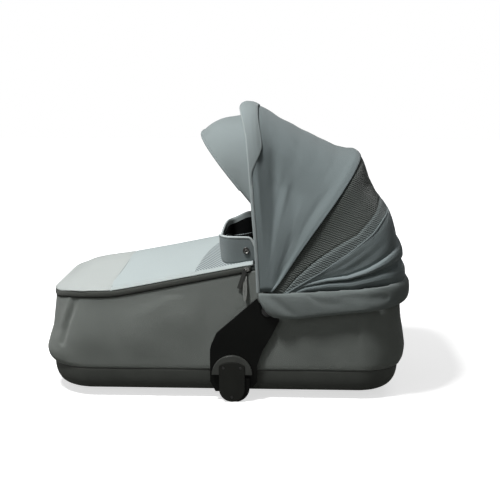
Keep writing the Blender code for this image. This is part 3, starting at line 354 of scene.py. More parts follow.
def coloured(tree, colour, level):
    """Gives a finish its one colour, made lighter and darker by level."""
    paint = tree.nodes.new("ShaderNodeVectorMath")
    paint.operation = "SCALE"
    paint.inputs[0].default_value = colour
    tree.links.new(level, paint.inputs["Scale"])
    tree.links.new(paint.outputs[0], tree.nodes["Principled BSDF"].inputs["Base Color"])


def woven(name, colour, change=0.10, fleck=0.12, pitch=0.0011, depth=0.00025, sheen=0.12, ribs=0.0,
          solid=False):
    """Woven or knitted cloth: slow colour drift, fine flecks, and a plain or ribbed weave."""
    made = bpy.data.materials.new(name)
    made.use_nodes = True
    nodes = made.node_tree.nodes
    links = made.node_tree.links
    shader = nodes["Principled BSDF"]
    shader.inputs["Roughness"].default_value = 0.92
    shader.inputs["Specular IOR Level"].default_value = 0.10
    shader.inputs["Sheen Weight"].default_value = sheen
    shader.inputs["Sheen Roughness"].default_value = 0.5
    if solid:
        place = nodes.new("ShaderNodeTexCoord").outputs["Object"]
    else:
        cloth = nodes.new("ShaderNodeUVMap")
        cloth.uv_map = "cloth"
        place = cloth.outputs["UV"]
    sum_of = partial(reckoned, made.node_tree)
    drift = nodes.new("ShaderNodeTexNoise")
    drift.inputs["Scale"].default_value = 9.0
    drift.inputs["Detail"].default_value = 3.0
    speck = nodes.new("ShaderNodeTexNoise")
    speck.inputs["Scale"].default_value = 620.0
    speck.inputs["Detail"].default_value = 1.0
    for texture in (drift, speck):
        links.new(place, texture.inputs["Vector"])
    amount = sum_of("MULTIPLY", sum_of("SUBTRACT", drift.outputs["Fac"], 0.5), 2.4 * change)
    flecks = sum_of("MULTIPLY", sum_of("SUBTRACT", speck.outputs["Fac"], 0.5), 2.4 * fleck)
    level = sum_of("ADD", sum_of("ADD", amount, flecks), 1.0)
    parts = nodes.new("ShaderNodeSeparateXYZ")
    links.new(place, parts.inputs[0])
    over, down = parts.outputs["X"], parts.outputs["Y"]
    if solid:
        over, down = sum_of("ADD", over, down), parts.outputs["Z"]
    warp = sum_of("SINE", sum_of("MULTIPLY", over, math.tau / pitch))
    weft = sum_of("SINE", sum_of("MULTIPLY", down, math.tau / pitch))
    height = sum_of("MULTIPLY", warp, weft)
    if ribs:
        slant = sum_of("ADD", over, sum_of("MULTIPLY", down, 0.8))
        rib = sum_of("SINE", sum_of("MULTIPLY", slant, math.tau / ribs))
        level = sum_of("ADD", level, sum_of("MULTIPLY", rib, 0.42))
        height = sum_of("ADD", sum_of("MULTIPLY", rib, 2.5), height)
    coloured(made.node_tree, colour, level)
    raised(made.node_tree, height, 0.6, depth)
    return made


def crease(u, v, start, end, width, depth):
    """Soft trough from start to end on a cloth, in its own two coordinates."""
    start, end = np.array(start, float), np.array(end, float)
    run = end - start
    part = ((u - start[0]) * run[0] + (v - start[1]) * run[1]) / (run @ run)
    held = np.clip(part, 0.0, 1.0)
    away = np.hypot(u - start[0] - held * run[0], v - start[1] - held * run[1])
    along = 0.35 + 0.65 * np.sin(math.pi * np.clip(0.08 + 0.84 * held, 0, 1))
    return -depth * np.exp(-(away / width) ** 2) * along


def slow_noise(u, v, scale, seed):
    """Gentle unevenness of a cloth, the same on each run."""
    flat = [noise.noise(Vector((a * scale, b * scale, seed))) for a, b in zip(u.ravel(), v.ravel())]
    return np.array(flat).reshape(u.shape)


def smoothed(values, times):
    """Rounds off the corners of a line that was given by a few places."""
    for turn in range(times):
        values[1:-1] = 0.5 * values[1:-1] + 0.25 * (values[2:] + values[:-2])
    return values


wall_out, wall_drop = 0.0094, 0.0045
wall_shares = (0.0, 0.06, 0.18, 0.35, 0.52, 0.80, 1.0)
bulge_shares = (0.50, 0.84, 1.0, 0.72, 0.38, 0.14, 0.0)
wall_rows = 64
wall_foot = seam_z + 0.0004
loop_u = loop_runs[:-1]
smooth_share = np.linspace(0.0, 1.0, 201)
smooth_bulge = smoothed(np.interp(smooth_share, wall_shares, bulge_shares), 60)

# How far round each foot corner a place lies, from where the straight side ends.
side_right = loop_outs[:, 1] < -0.999
side_left = loop_outs[:, 1] > 0.999
round_right = loop_u[side_right].min() - loop_u
round_left = loop_u - loop_u[side_left].max()
# Each fold: its first place and height, its last place and height, its width and its depth.
corner_folds = ((0.034, 0.240, 0.060, 0.125, 0.0052, 0.0085),
                (0.0235, 0.238, 0.046, 0.180, 0.0036, 0.0042),
                (0.043, 0.236, 0.062, 0.170, 0.0070, -0.0040),
                (0.072, 0.232, 0.082, 0.150, 0.0120, 0.0030))
side_folds = ((-0.187, 0.200, -0.092, 0.248, 0.016, -0.0020),
              (-0.165, 0.168, -0.045, 0.122, 0.036, 0.0030),
              (-0.044, 0.264, -0.046, 0.222, 0.006, 0.0012),
              (-0.135, 0.246, -0.088, 0.2455, 0.006, 0.0016),
              (-0.275, 0.205, -0.230, 0.120, 0.022, 0.0022),
              (0.205, 0.190, 0.260, 0.110, 0.025, 0.0024),
              (0.300, 0.200, 0.330, 0.120, 0.018, 0.0026))
wall_bulge, wall_dent, left_side_shift = 0.0078, 0.0022, 0.017
arm_middle, arm_reach = 0.052, 0.090


def wall_soft(z, share):
    """Slow dents and corner folds of the wall, at one height round the whole tub."""
    x = loop_places[:, 0]
    edge = math.sin(math.pi * min(0.04 + 0.94 * share, 1.0)) ** 0.5
    off_arm = np.clip((np.abs(x - arm_middle) - arm_reach) / 0.05, 0.0, 1.0)
    full = wall_bulge * math.sin(math.pi * share ** 0.95) ** 2.0 * off_arm * (1 - loop_outs[:, 0] ** 2)
    soft = -wall_dent * np.abs(slow_noise(loop_u, z, 7.0, 1.7)) * off_arm * edge
    for around in (round_right, round_left):
        near = (around > -0.02) & (around < 0.13)
        for u0, z0, u1, z1, width, depth in corner_folds:
            soft = soft + near * crease(around, z, (u0, z0), (u1, z1), width, depth) * edge
    for number, on_side in enumerate((side_right, side_left)):
        for x0, z0, x1, z1, width, depth in side_folds:
            shift = left_side_shift * number
            fold = crease(x, z, (x0 + shift, z0), (x1 - shift, z1), width, depth)
            soft = soft + on_side * fold * off_arm * edge
    covered = np.clip((x - 0.080) / 0.050, 0.0, 1.0) * min(1.0, max(0.0, (share - 0.60) / 0.20))
    return (full + soft) * (1 - covered)


wall_grid = []
for i in range(wall_rows + 1):
    share = i / wall_rows
    z = wall_foot + (rim_z(loop_places[:, 0]) - wall_drop - wall_foot) * share
    bulge = by_end(loop_outs, 0.0017, 0.0275, 0.0185) * np.interp(share, smooth_share, smooth_bulge)
    hem = 0.0012 * math.exp(-(share / 0.03) ** 2)
    wall_grid.append(tub_ring(wall_out + bulge + wall_soft(z, share) - hem, z))
wall_cloth = woven("wall_cloth", (0.212, 0.230, 0.215), 0.07, 0.14)
wall = skin("wall", wall_grid, wall_cloth, loop=True, thickness=0.0018)
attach(wall, "carrycot")
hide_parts("side_fabric")

# Seam cord: a thin cord at the seam between the wall and the tray's edge.
# It is painted black, as painted shadow where the wall's foot bulges over the tray.
def cord_along(name, points, radius, look, closed=False, sides=8):
    """Round cord through a list of points, as a mesh with cloth coordinates."""
    points = [Vector(p) for p in points]
    count = len(points)
    grid = []
    for k in range(count):
        before = points[(k - 1) % count] if closed or k else points[0]
        after = points[(k + 1) % count] if closed or k < count - 1 else points[-1]
        run = (after - before).normalized()
        side = run.cross(Vector((0.0, 0.0, 1.0)))
        side = side.normalized() if side.length > 1e-4 else run.orthogonal().normalized()
        lift = side.cross(run).normalized()
        grid.append([points[k] + side * (radius * math.cos(math.tau * s / sides))
                     + lift * (radius * math.sin(math.tau * s / sides)) for s in range(sides)])
    if closed:
        grid.append(grid[0])
    return skin(name, grid, look, loop=True)


seam_cord_points = tub_ring(by_end(loop_outs, 0.0066, 0.0200, 0.0145), seam_z + 0.0002)
# One black cloth for real black piping and for painted shadow lines: the seam cord and the strip under
# the zip band.
black_tape_and_shadow = woven("black_tape_and_shadow", (0.020, 0.021, 0.019), 0.08, 0.10)
seam_shadow_cord = cord_along("wall_seam_cord", seam_cord_points, 0.0011, black_tape_and_shadow, closed=True)
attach(seam_shadow_cord, "carrycot")

# Lining: black cloth inside the tub, sewn on round the rim and held down by the mattress.
# It hangs a little loose between the two.
liner_foot, liner_top_out = 0.0312, -0.0076
liner_grid = []
for share in np.linspace(0.0, 1.0, 15):
    low = by_end(loop_outs, -0.017, -0.036, -0.036)
    out = low + (liner_top_out - low) * share
    z = liner_foot + (rim_z(loop_places[:, 0]) + 0.0005 - liner_foot) * share
    soft = -0.0016 * np.abs(slow_noise(loop_u, z, 9.0, 4.2)) * math.sin(math.pi * share)
    liner_grid.append(tub_ring(out + soft, z))
lining_black = woven("lining_black", (0.0055, 0.0060, 0.0060), 0.15, 0.2, sheen=0.0)
liner = skin("lining", liner_grid, lining_black, loop=True, thickness=0.0016, offset=1.0)
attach(liner, "carrycot")
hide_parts("inner_liner")

# Rim binding: a strip of dark grey cloth folded over the rim tube and sewn down on both sides.
# It runs round the open part of the tub, from one end of the collar to the other.
binding_start, binding_radius, binding_steps = 0.0, 0.0082, 16
kept = [k for k in range(len(loop_u)) if loop_places[k][0] > binding_start]
halfway = len(loop_u) // 2
binding_grid = []
for k in [k for k in kept if k > halfway] + [k for k in kept if k < halfway]:
    place, out = loop_places[k], loop_outs[k]
    centre = np.array((*place, float(rim_z(place[0]))))
    ring = []
    for s in range(binding_steps + 1):
        turn = math.pi * (-0.34 + 1.44 * s / binding_steps)
        rise = binding_radius * math.sin(turn)
        ring.append(centre + np.array((*(out * binding_radius * math.cos(turn)), rise)))
    binding_grid.append(ring)
binding_grey = woven("binding_grey", (0.050, 0.056, 0.054), 0.06, 0.12)
binding = skin("rim_binding", binding_grid, binding_grey, thickness=0.0010)
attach(binding, "carrycot")

# Mattress and floor board: a thin foam mattress in a pale quilted cover, on a rigid board. Its
# edges draw in and its top crowns. A short cloth simulation swells it, as foam fills its cover.
def mattress_ring(end_inset, side_inset, z, scale=1.0):
    """One ring of the mattress, set in from the rim's line and drawn towards its middle."""
    centre = np.array((tub_middle, 0.0))
    inset = by_end(loop_outs, side_inset, end_inset, end_inset)
    flat = centre + (loop_places - loop_outs * inset[:, None] - centre) * scale
    return np.column_stack((flat, np.full(len(flat), z)))


def closed(piece):
    """Closes a pad's open ends, so that it holds pressure."""
    shell = bmesh.new()
    shell.from_mesh(piece.data)
    bmesh.ops.holes_fill(shell, edges=[edge for edge in shell.edges if edge.is_boundary], sides=0)
    bmesh.ops.recalc_face_normals(shell, faces=shell.faces)
    shell.to_mesh(piece.data)
    shell.free()
    piece.data.shade_smooth()


def swelled(piece, voxel, cap, pressure):
    """Remeshes a closed pad, blows it up with cloth pressure, and keeps the result up to the cap."""
    frames = 20
    bpy.context.view_layer.objects.active = piece
    for other in bpy.context.selected_objects:
        other.select_set(False)
    piece.select_set(True)
    remesh = piece.modifiers.new("remesh", "REMESH")
    remesh.mode = "VOXEL"
    remesh.voxel_size = voxel
    bpy.ops.object.modifier_apply(modifier="remesh")
    before = np.empty(len(piece.data.vertices) * 3)
    piece.data.vertices.foreach_get("co", before)
    cloth = piece.modifiers.new("swell", "CLOTH")
    cloth.settings.use_pressure = True
    cloth.settings.uniform_pressure_force = pressure
    cloth.settings.effector_weights.gravity = 0.0
    cloth.settings.quality = 4
    cloth.collision_settings.use_collision = False
    scene = bpy.context.scene
    for number in range(1, frames + 1):
        scene.frame_set(number)
    after = np.empty_like(before)
    shown = piece.evaluated_get(bpy.context.evaluated_depsgraph_get())
    shown.data.vertices.foreach_get("co", after)
    piece.modifiers.remove(cloth)
    scene.frame_set(1)
    moved = (after - before).reshape(-1, 3)
    length = np.linalg.norm(moved, axis=1, keepdims=True)
    moved *= np.minimum(1.0, cap / np.maximum(length, 1e-9))
    piece.data.vertices.foreach_set("co", (before.reshape(-1, 3) + moved).ravel())
    piece.data.shade_smooth()
    fine = piece.modifiers.new("fine", "SUBSURF")
    fine.levels = fine.render_levels = 1


mattress_low, mattress_deep = 0.0308, 0.0335
mattress_crown, quilt_deep, quilt_size = 0.0062, 0.0012, 0.045
mattress_grid = []
for share in np.linspace(0.0, 1.0, 13):
    tuck = 0.0075 * abs(2 * share - 1) ** 2.6
    z = mattress_low + mattress_deep * share
    mattress_grid.append(mattress_ring(0.0462 + tuck, 0.0242 + tuck, z))
for scale in np.linspace(0.985, 0.02, 30):
    ring = mattress_ring(0.0537, 0.0317, 0.0, scale)
    stitch_rows = np.sin(ring[:, 0] * math.pi / quilt_size) * np.sin(ring[:, 1] * math.pi / quilt_size)
    quilt = quilt_deep * np.abs(stitch_rows) ** 0.5
    ring[:, 2] = mattress_low + mattress_deep + (mattress_crown + quilt) * (1 - scale ** 2)
    mattress_grid.append(ring)
mattress_white = woven("mattress_white", (0.62, 0.62, 0.60), 0.05, 0.06, solid=True)
mattress = skin("mattress_pad", mattress_grid, mattress_white, loop=True)
closed(mattress)
swelled(mattress, 0.0055, 0.0030, 3.0)
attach(mattress, "carrycot")
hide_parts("mattress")
board_grey = grained("board_grey", (0.10, 0.10, 0.09), 0.8, 400.0, 0.0002)
dress("floor_board", board_grey)

# Apron: a light cover over the baby's legs, sewn from a smooth foot piece, a dotted middle and
# two ribbed insets beside the collar. It domes between its zipped edges.
apron_half = rim_half + wall_out
apron_dome, dome_run = 0.040, 0.165
collar_x, collar_back, collar_half, collar_power = -0.004, 0.072, 0.175, 6.0


def apron_foot(y):
    """The apron's edge at the foot end, rounded at its corners."""
    radius = rim_corner + wall_out
    past = np.maximum(np.abs(y) - (apron_half - radius), 0.0)
    return rim_foot_x - wall_out + radius - np.sqrt(np.maximum(radius ** 2 - past ** 2, 0.0))


def collar_line(y):
    """Where the collar stands on the apron: a squared bow, open to the head end."""
    part = np.minimum(np.abs(y) / collar_half, 1.0)
    return collar_x + collar_back * (1 - (1 - part ** collar_power) ** (1 / collar_power))


def apron_z(x, y):
    """The apron's own height, domed from side to side and up from the foot."""
    across = 1 - (np.minimum(np.abs(y), apron_half) / apron_half) ** 1.75
    run = np.clip((x - apron_foot(y)) / dome_run, 0.0, 1.0)
    return rim_z(x) + 0.0086 + apron_dome * across * (1 - (1 - run) ** 1.9)


def foot_seam(y):
    """The curved seam between the foot piece and the dotted middle."""
    return -0.233 - 0.020 * np.minimum(np.abs(y) / 0.157, 1.0) ** 2.5


# The inset's edge in plan: from the collar's middle out and down towards the foot, on each side.
inset_starts = 0.046
inset_across = (0.0, inset_starts, 0.052, 0.069, 0.094, 0.123, 0.149, 0.1635, 0.1715, 0.18, 0.20)
inset_along = (-0.0045, -0.0085, -0.0145, -0.0269, -0.0384, -0.0484, -0.0544, -0.0595, -0.0620, -0.063,
               -0.063)


def inset_edge(y):
    """Edge of the two ribbed insets, which keeps clear of the collar's line."""
    return np.minimum(np.interp(np.abs(y), inset_across, inset_along), collar_line(y) - 0.0005)


apron_columns = 144
apron_pieces = ((apron_foot, foot_seam), (foot_seam, inset_edge), (inset_edge, collar_line))
apron_splits = (34, 60, 22)
edge_strip = 0.0125
apron_grid, apron_uv, apron_marks = [], [], []
y_steps = apron_half * np.sin(0.5 * math.pi * np.linspace(-1.0, 1.0, apron_columns + 1))
for part, (start, end) in enumerate(apron_pieces):
    for k in range(apron_splits[part] + (part == 2)):
        share = k / apron_splits[part]
        x = start(y_steps) + (end(y_steps) - start(y_steps)) * share
        x = np.maximum(x, apron_foot(y_steps))
        z = apron_z(x, y_steps) + 0.0013
        to_side = apron_half - np.abs(y_steps)
        to_edge = np.minimum(to_side, x - apron_foot(y_steps))
        z = z - 0.0020 * np.exp(-((x - foot_seam(y_steps)) / 0.0022) ** 2)
        on_inset = np.abs(y_steps) > inset_starts
        z = z - 0.0008 * (on_inset * np.exp(-((x - inset_edge(y_steps)) / 0.0018) ** 2))
        z = z - 0.0009 * np.exp(-((to_side - edge_strip) / 0.0012) ** 2)
        z = z + 0.0016 * slow_noise(x, y_steps, 8.0, 2.2) * np.clip(to_edge / 0.03, 0.0, 1.0)
        z = z - 0.0018 * np.exp(-(to_edge / 0.0016) ** 2)
        apron_grid.append(np.column_stack((x, y_steps, z)))
        apron_uv.append(np.column_stack((x, y_steps)))
        side_share = 0.5 * (to_side[1:] + to_side[:-1])
        apron_marks.append(np.where(side_share < edge_strip, 3 if part else 0, part))
foot_pale = woven("foot_pale", (0.500, 0.535, 0.520), 0.03, 0.03, pitch=0.0008)
apron_pale = woven("apron_pale", (0.448, 0.505, 0.505), 0.03, 0.05, pitch=0.0024, depth=0.0003)
rib_pale = woven("rib_pale", (0.345, 0.392, 0.398), 0.03, 0.05, pitch=0.0016, ribs=0.0062, depth=0.0006)
strip_pale = woven("strip_pale", (0.470, 0.525, 0.518), 0.03, 0.04, pitch=0.0009)
apron_cloths = [foot_pale, apron_pale, rib_pale, strip_pale]
apron = skin("apron_cover", apron_grid, apron_cloths, np.array(apron_uv), thickness=0.0026,
             marks=apron_marks[:-1])
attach(apron, "carrycot")
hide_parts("apron")

# Apron piping and stitching: a grey-blue cord round the foot piece, a thin cord in the seam behind
# it, and a row of thread along each side edge. All of it is sewn down along its whole run.
piping_blue = woven("piping_blue", (0.235, 0.290, 0.300), 0.05, 0.08)
pipe_inset, pipe_side_run = 0.0145, 0.055
pipe_radius = rim_corner + wall_out - pipe_inset
flat_half = apron_half - (rim_corner + wall_out)
corner_run = 0.5 * math.pi * pipe_radius
centre_x = rim_foot_x - wall_out + pipe_inset + pipe_radius
pipe_points = []
for turn in np.linspace(-1.0, 1.0, 97):
    run = abs(turn) * (flat_half + corner_run + pipe_side_run)
    if run < flat_half:
        x, y = centre_x - pipe_radius, run
    elif run < flat_half + corner_run:
        angle = (run - flat_half) / pipe_radius
        x, y = centre_x - pipe_radius * math.cos(angle), flat_half + pipe_radius * math.sin(angle)
    else:
        x, y = centre_x + (run - flat_half - corner_run), flat_half + pipe_radius
    y = math.copysign(y, turn)
    pipe_points.append((x, y, float(apron_z(np.array(x), np.array(y))) + 0.0024))
apron_piping = cord_along("apron_piping", pipe_points, 0.0011, piping_blue)
seam_blue = woven("seam_blue", (0.180, 0.215, 0.222), 0.05, 0.08)
seam_across = np.linspace(-0.180, 0.180, 91)
seam_along = foot_seam(seam_across)
seam_points = np.column_stack((seam_along, seam_across, apron_z(seam_along, seam_across) + 0.0013))
apron_foot_seam = cord_along("apron_foot_seam", seam_points, 0.0011, seam_blue)
for piece in (apron_piping, apron_foot_seam):
    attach(piece, "carrycot")


stitch_length, stitch_gap, stitch_radius = 0.0038, 0.0032, 0.0008


def stitches(name, path, look):
    """A row of thread stitches laid along a path on the cloth."""
    path = [Vector(p) for p in path]
    runs = [0.0]
    for here, there in zip(path, path[1:]):
        runs.append(runs[-1] + (there - here).length)
    columns = np.array([list(p) for p in path])

    def at(distance):
        return Vector([np.interp(distance, runs, columns[:, axis]) for axis in range(3)])

    made = bmesh.new()
    place = 0.5 * stitch_gap
    while place + stitch_length < runs[-1]:
        start, end = at(place), at(place + stitch_length)
        run = (end - start).normalized()
        side = run.orthogonal().normalized()
        other = run.cross(side)
        rings = []
        for share, size in ((0.0, 0.35), (0.2, 1.0), (0.8, 1.0), (1.0, 0.35)):
            ring = []
            for turn in (0.0, 1.2566, 2.5133, 3.7699, 5.0265):
                spoke = (side * math.cos(turn) + other * math.sin(turn)) * stitch_radius * size
                ring.append(made.verts.new(start.lerp(end, share) + spoke))
            rings.append(ring)
        for near, far in zip(rings, rings[1:]):
            for s in range(5):
                made.faces.new((near[s], near[(s + 1) % 5], far[(s + 1) % 5], far[s]))
        made.faces.new(rings[0])
        made.faces.new(rings[-1])
        place += stitch_length + stitch_gap
    bmesh.ops.recalc_face_normals(made, faces=made.faces)
    mesh = bpy.data.meshes.new(name)
    made.to_mesh(mesh)
    made.free()
    mesh.materials.append(look)
    mesh.shade_smooth()
    item = bpy.data.objects.new(name, mesh)
    bpy.context.scene.collection.objects.link(item)
    return item


thread_grey = grained("thread_grey", (0.105, 0.122, 0.126), 0.8, 900.0, 0.0001)
for side_name, side in (("right", -1.0), ("left", 1.0)):
    row = []
    y = side * (apron_half - edge_strip - 0.0022)
    for x in np.linspace(-0.235, 0.046, 120):
        row.append((x, y, float(apron_z(np.array(x), np.array(y))) + 0.0021))
    edge_row = stitches(f"apron_edge_stitches_{side_name}", row, thread_grey)
    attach(edge_row, "carrycot")

# Zip: a soft dark band of rolled cloth covers the zip round the foot end, with a black strip
# under it that is painted shadow. The slider waits at the right-hand end.
zip_end, zip_taper, zip_steps = 0.064, 0.03, 14
zip_grid, shadow_strip_grid = [], []
for place, out in zip(loop_places, loop_outs):
    if place[0] >= zip_end:
        continue
    z = float(rim_z(place[0]))
    taper = min(1.0, max(0.0, (zip_end - place[0]) / zip_taper)) ** 0.5
    ring = []
    for s in range(zip_steps + 1):
        turn = math.pi * (-0.5 + s / zip_steps)
        distance = wall_out - 0.0004 + (0.0008 + 0.0012 * taper) * math.cos(turn) ** 0.8
        ring.append((*(place + out * distance), z + 0.0010 + 0.0056 * math.sin(turn)))
    zip_grid.append(ring)
    # The black strip under the band is painted shadow in the gap there.
    shadow_strip_grid.append([(*(place + out * (wall_out + 0.0003)), z - 0.0046 - 0.0022 * s) for s in range(2)])
band_grey = woven("band_grey", (0.078, 0.083, 0.075), 0.08, 0.14)
zip_band = skin("zip_band", zip_grid, band_grey, thickness=0.0010)
zip_shadow_strip = skin("zip_shadow_strip", shadow_strip_grid, black_tape_and_shadow, thickness=0.0006, offset=1.0)
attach(zip_band, "carrycot")
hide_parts("zip_tape")
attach(zip_shadow_strip, "carrycot")

slider_steel = grained("slider_steel", (0.62, 0.62, 0.60), 0.22, 500.0, 0.0001, 1.0, 0.1)
pull_dark = grained("pull_dark", (0.060, 0.062, 0.058), 0.38, 600.0, 0.0002, 0.6, 0.2)
dress("zip_slider", slider_steel, 0.0006)
dress("zip_pull", pull_dark, 0.0004)

# Pull ribbon: a loop of grey ribbon threaded through the slider, hanging in two strands.
# It swings with the metal pull, and leans out a little towards its end.
ribbon_low, ribbon_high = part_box("pull_ribbon")
ribbon_middle = 0.5 * (ribbon_low + ribbon_high)
ribbon_half_width, ribbon_spread, ribbon_lean = 0.0024, 0.0036, 0.0064
ribbon_grid = []
for share in np.linspace(0.0, 1.0, 41):
    turn = math.pi * share
    drop = math.sin(turn) ** 0.7
    x = ribbon_middle.x - ribbon_spread * math.cos(turn) * (0.35 + 0.65 * math.sin(turn) ** 0.5)
    y = ribbon_middle.y + 0.0003 * math.cos(turn) - ribbon_lean * drop ** 1.3
    z = ribbon_high.z - (ribbon_high.z - ribbon_low.z) * drop
    upright = abs(math.cos(turn)) ** 0.3
    ribbon_grid.append([(x + across * ribbon_half_width * upright, y,
                         z + across * ribbon_half_width * (1 - upright))
                        for across in (-1, -0.5, 0, 0.5, 1)])
ribbon_grey = woven("ribbon_grey", (0.24, 0.25, 0.235), 0.06, 0.12)
ribbon = skin("ribbon_loop", ribbon_grid, ribbon_grey, thickness=0.0007, offset=0.0)
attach(ribbon, "zip_pull")
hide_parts("pull_ribbon")

# Wind collar: a stiff band of double cloth that stands on the apron round the baby's chest.
# A rolled hem, painted pale as its highlight, finishes its top, and its inside is black below a narrow
# strip that is painted lighter, as painted light.
collar_set = 0.005
collar_outer_half = collar_half + collar_set
collar_top, collar_sag, collar_drop, collar_drop_run = 0.3755, 0.0165, 0.022, 0.018
collar_tail = 0.009


def eased_step(value, low, high):
    """Rises softly from 0 at low to 1 at high."""
    part = np.clip((value - low) / (high - low), 0.0, 1.0)
    return float(part * part * (3 - 2 * part))


def collar_plan(turn):
    """Place in plan on the collar's rounded outline, by direction from its open middle."""
    back, over = abs(math.cos(turn)), abs(math.sin(turn))
    size = (back ** collar_power + over ** collar_power) ** (1 / collar_power)
    return Vector((collar_x - collar_set + collar_back * (1 - back / size),
                   math.copysign(collar_outer_half * over / size, math.sin(turn))))


collar_fine = [collar_plan(turn) for turn in np.linspace(-0.5 * math.pi, 0.5 * math.pi, 1201)]
tail = Vector((collar_tail, 0.0))
collar_fine = [collar_fine[0] + tail] + collar_fine + [collar_fine[-1] + tail]
collar_steps = [(b - a).length for a, b in zip(collar_fine, collar_fine[1:])]
collar_run = np.concatenate(([0.0], np.cumsum(collar_steps)))
collar_columns = [np.array([point[axis] for point in collar_fine]) for axis in range(2)]


def collar_frame(run):
    """Place, outward direction and top height at a running length along the collar."""
    def at(length):
        return Vector([float(np.interp(length, collar_run, column)) for column in collar_columns])

    ahead, behind = at(min(run + 0.004, collar_run[-1])), at(max(run - 0.004, 0.0))
    along = (ahead - behind).normalized()
    end = max(0.0, 1 - min(run, collar_run[-1] - run) / collar_drop_run)
    spot = at(run)
    to_side = (-spot.y - 0.060) / 0.105 if spot.y < 0 else (spot.x + 0.002) / 0.050
    sag = collar_sag * (1 - eased_step(to_side, 0.0, 1.0))
    return spot, Vector((-along.y, along.x)), collar_top - sag - collar_drop * end ** 2.4


painted_light_height, collar_ledge = 0.0125, 0.0115
black_rows, painted_light_rows = 10, 4
collar_grid, collar_inside, hem_line = [], [], []
for run in np.linspace(0.0, collar_run[-1], 171):
    spot, out, top = collar_frame(run)
    held_y = max(-apron_half, min(apron_half, spot.y))
    low = float(apron_z(np.array(spot.x), np.array(held_y))) + 0.0030
    ledge, foot = spot - out * collar_ledge, spot - out * 0.0026
    column = []
    inside = [(ledge.x, ledge.y, low - 0.0100), (ledge.x, ledge.y, low + 0.0008),
              (foot.x, foot.y, low + 0.0008)]
    black_top = 1 - min(0.6, painted_light_height / (top - low))
    black_shares = np.linspace(0.0, black_top, black_rows + 1)
    painted_light_shares = np.linspace(black_top, 1.0, painted_light_rows + 1)[1:]
    for share in np.concatenate((black_shares, painted_light_shares)):
        lean = 0.0034 * share ** 1.5 + 0.0012 * math.sin(math.pi * share)
        wave = 0.0012 * noise.noise(Vector((run * 9.0, share * 1.5, 6.0))) * share
        place = spot + out * (lean + wave)
        column.append((place.x, place.y, low + (top - low) * share))
        behind = spot + out * (lean + wave - 0.0024)
        inside.append((behind.x, behind.y, low + 0.0004 + (top - low - 0.0010) * share))
    collar_grid.append(column)
    collar_inside.append(inside)
    hem_line.append(column[-1])
collar_grey = woven("collar_grey", (0.205, 0.238, 0.242), 0.05, 0.10)
# The hem is painted pale: a painted highlight along the collar's top.
hem_painted_highlight = woven("hem_painted_highlight", (0.560, 0.615, 0.612), 0.04, 0.08)
collar = skin("collar_band", collar_grid, collar_grey, thickness=0.0030, offset=0.0)
# The top strip inside the collar is the collar's cloth painted lighter: painted light where the visor
# shades it.
painted_light_facing = woven("painted_light_facing", (0.380, 0.430, 0.428), 0.04, 0.08)
ledge_rows = 3
painted_light_marks = [[0] * (ledge_rows + black_rows) + [1] * painted_light_rows] * (len(collar_inside) - 1)
collar_black = skin("collar_lining", collar_inside, [lining_black, painted_light_facing], thickness=0.0012,
                    offset=0.0, marks=painted_light_marks)
collar_hem = cord_along("collar_hem", hem_line, 0.0028, hem_painted_highlight, sides=12)
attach(collar, "carrycot")
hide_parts("wind_collar")
for piece, slot in ((collar_black, "lining_cloth"), (collar_hem, "hem_cloth")):
    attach(piece, "carrycot")


# Press studs: two dark steel caps with a rolled rim and a hollow face, pressed through the collar
# near its ends. Each is turned about its own axis.
def lathe(name, centre, axis, profile, look):
    """Turned piece: distances along the axis and radii."""
    steps = 40
    along = Vector(axis).normalized()
    side = along.orthogonal().normalized()
    other = along.cross(side)
    grid = [[Vector(centre) + along * distance + (side * math.cos(math.tau * k / steps)
             + other * math.sin(math.tau * k / steps)) * radius for k in range(steps)]
            for distance, radius in profile]
    return skin(name, grid, look, loop=True)


stud_steel = grained("stud_steel", (0.085, 0.085, 0.080), 0.38, 500.0, 0.0001, 1.0, 0.2)
stud_profile = ((0.0, 0.0066), (0.0007, 0.0073), (0.0016, 0.0073), (0.0024, 0.0065), (0.0024, 0.0058),
                (0.0010, 0.0048), (0.0005, 0.0036), (0.0010, 0.0024), (0.0016, 0.0012), (0.0017, 0.0001))
stud_tilt = 0.12
for side_name, side in (("right", -1.0), ("left", 1.0)):
    low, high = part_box(f"press_stud_{side_name}")
    centre = 0.5 * (low + high)
    inner = side * (collar_outer_half + 0.0040)
    stud_place, stud_axis = (centre.x - 0.0012, inner, centre.z), (0.0, side, stud_tilt)
    stud = lathe(f"stud_cap_{side_name}", stud_place, stud_axis, stud_profile, stud_steel)
    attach(stud, "carrycot")
    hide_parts(f"press_stud_{side_name}")

# Hood ribs and hinge pins: three flat mouldings bent into arches on one pin at each side.
# They show only from under the hood.
rib_black = grained("rib_black", (0.020, 0.020, 0.019), 0.55, 900.0, 0.0002)
pin_steel = grained("pin_steel", (0.10, 0.10, 0.10), 0.35, 600.0, 0.0001, 1.0, 0.2)
for node in ("rib_front", "rib_middle", "rib_rear"):
    dress(node, rib_black)
for side in ("left", "right"):
    dress(f"hood_hinge_pin_{side}", pin_steel, 0.0005)

# Hood, front panel: blue-grey cloth between the front and middle ribs. It sags deep behind the
# front hem, rolls out over the middle rib, and creases softly towards the hinges.
pivot = np.array((0.100, 0.0, 0.213))
front_angle, middle_angle, rear_angle, tuck_angle = 95.7, 57.5, 36.0, 15.0
arch_start, cloth_side = 0.100, 0.2084
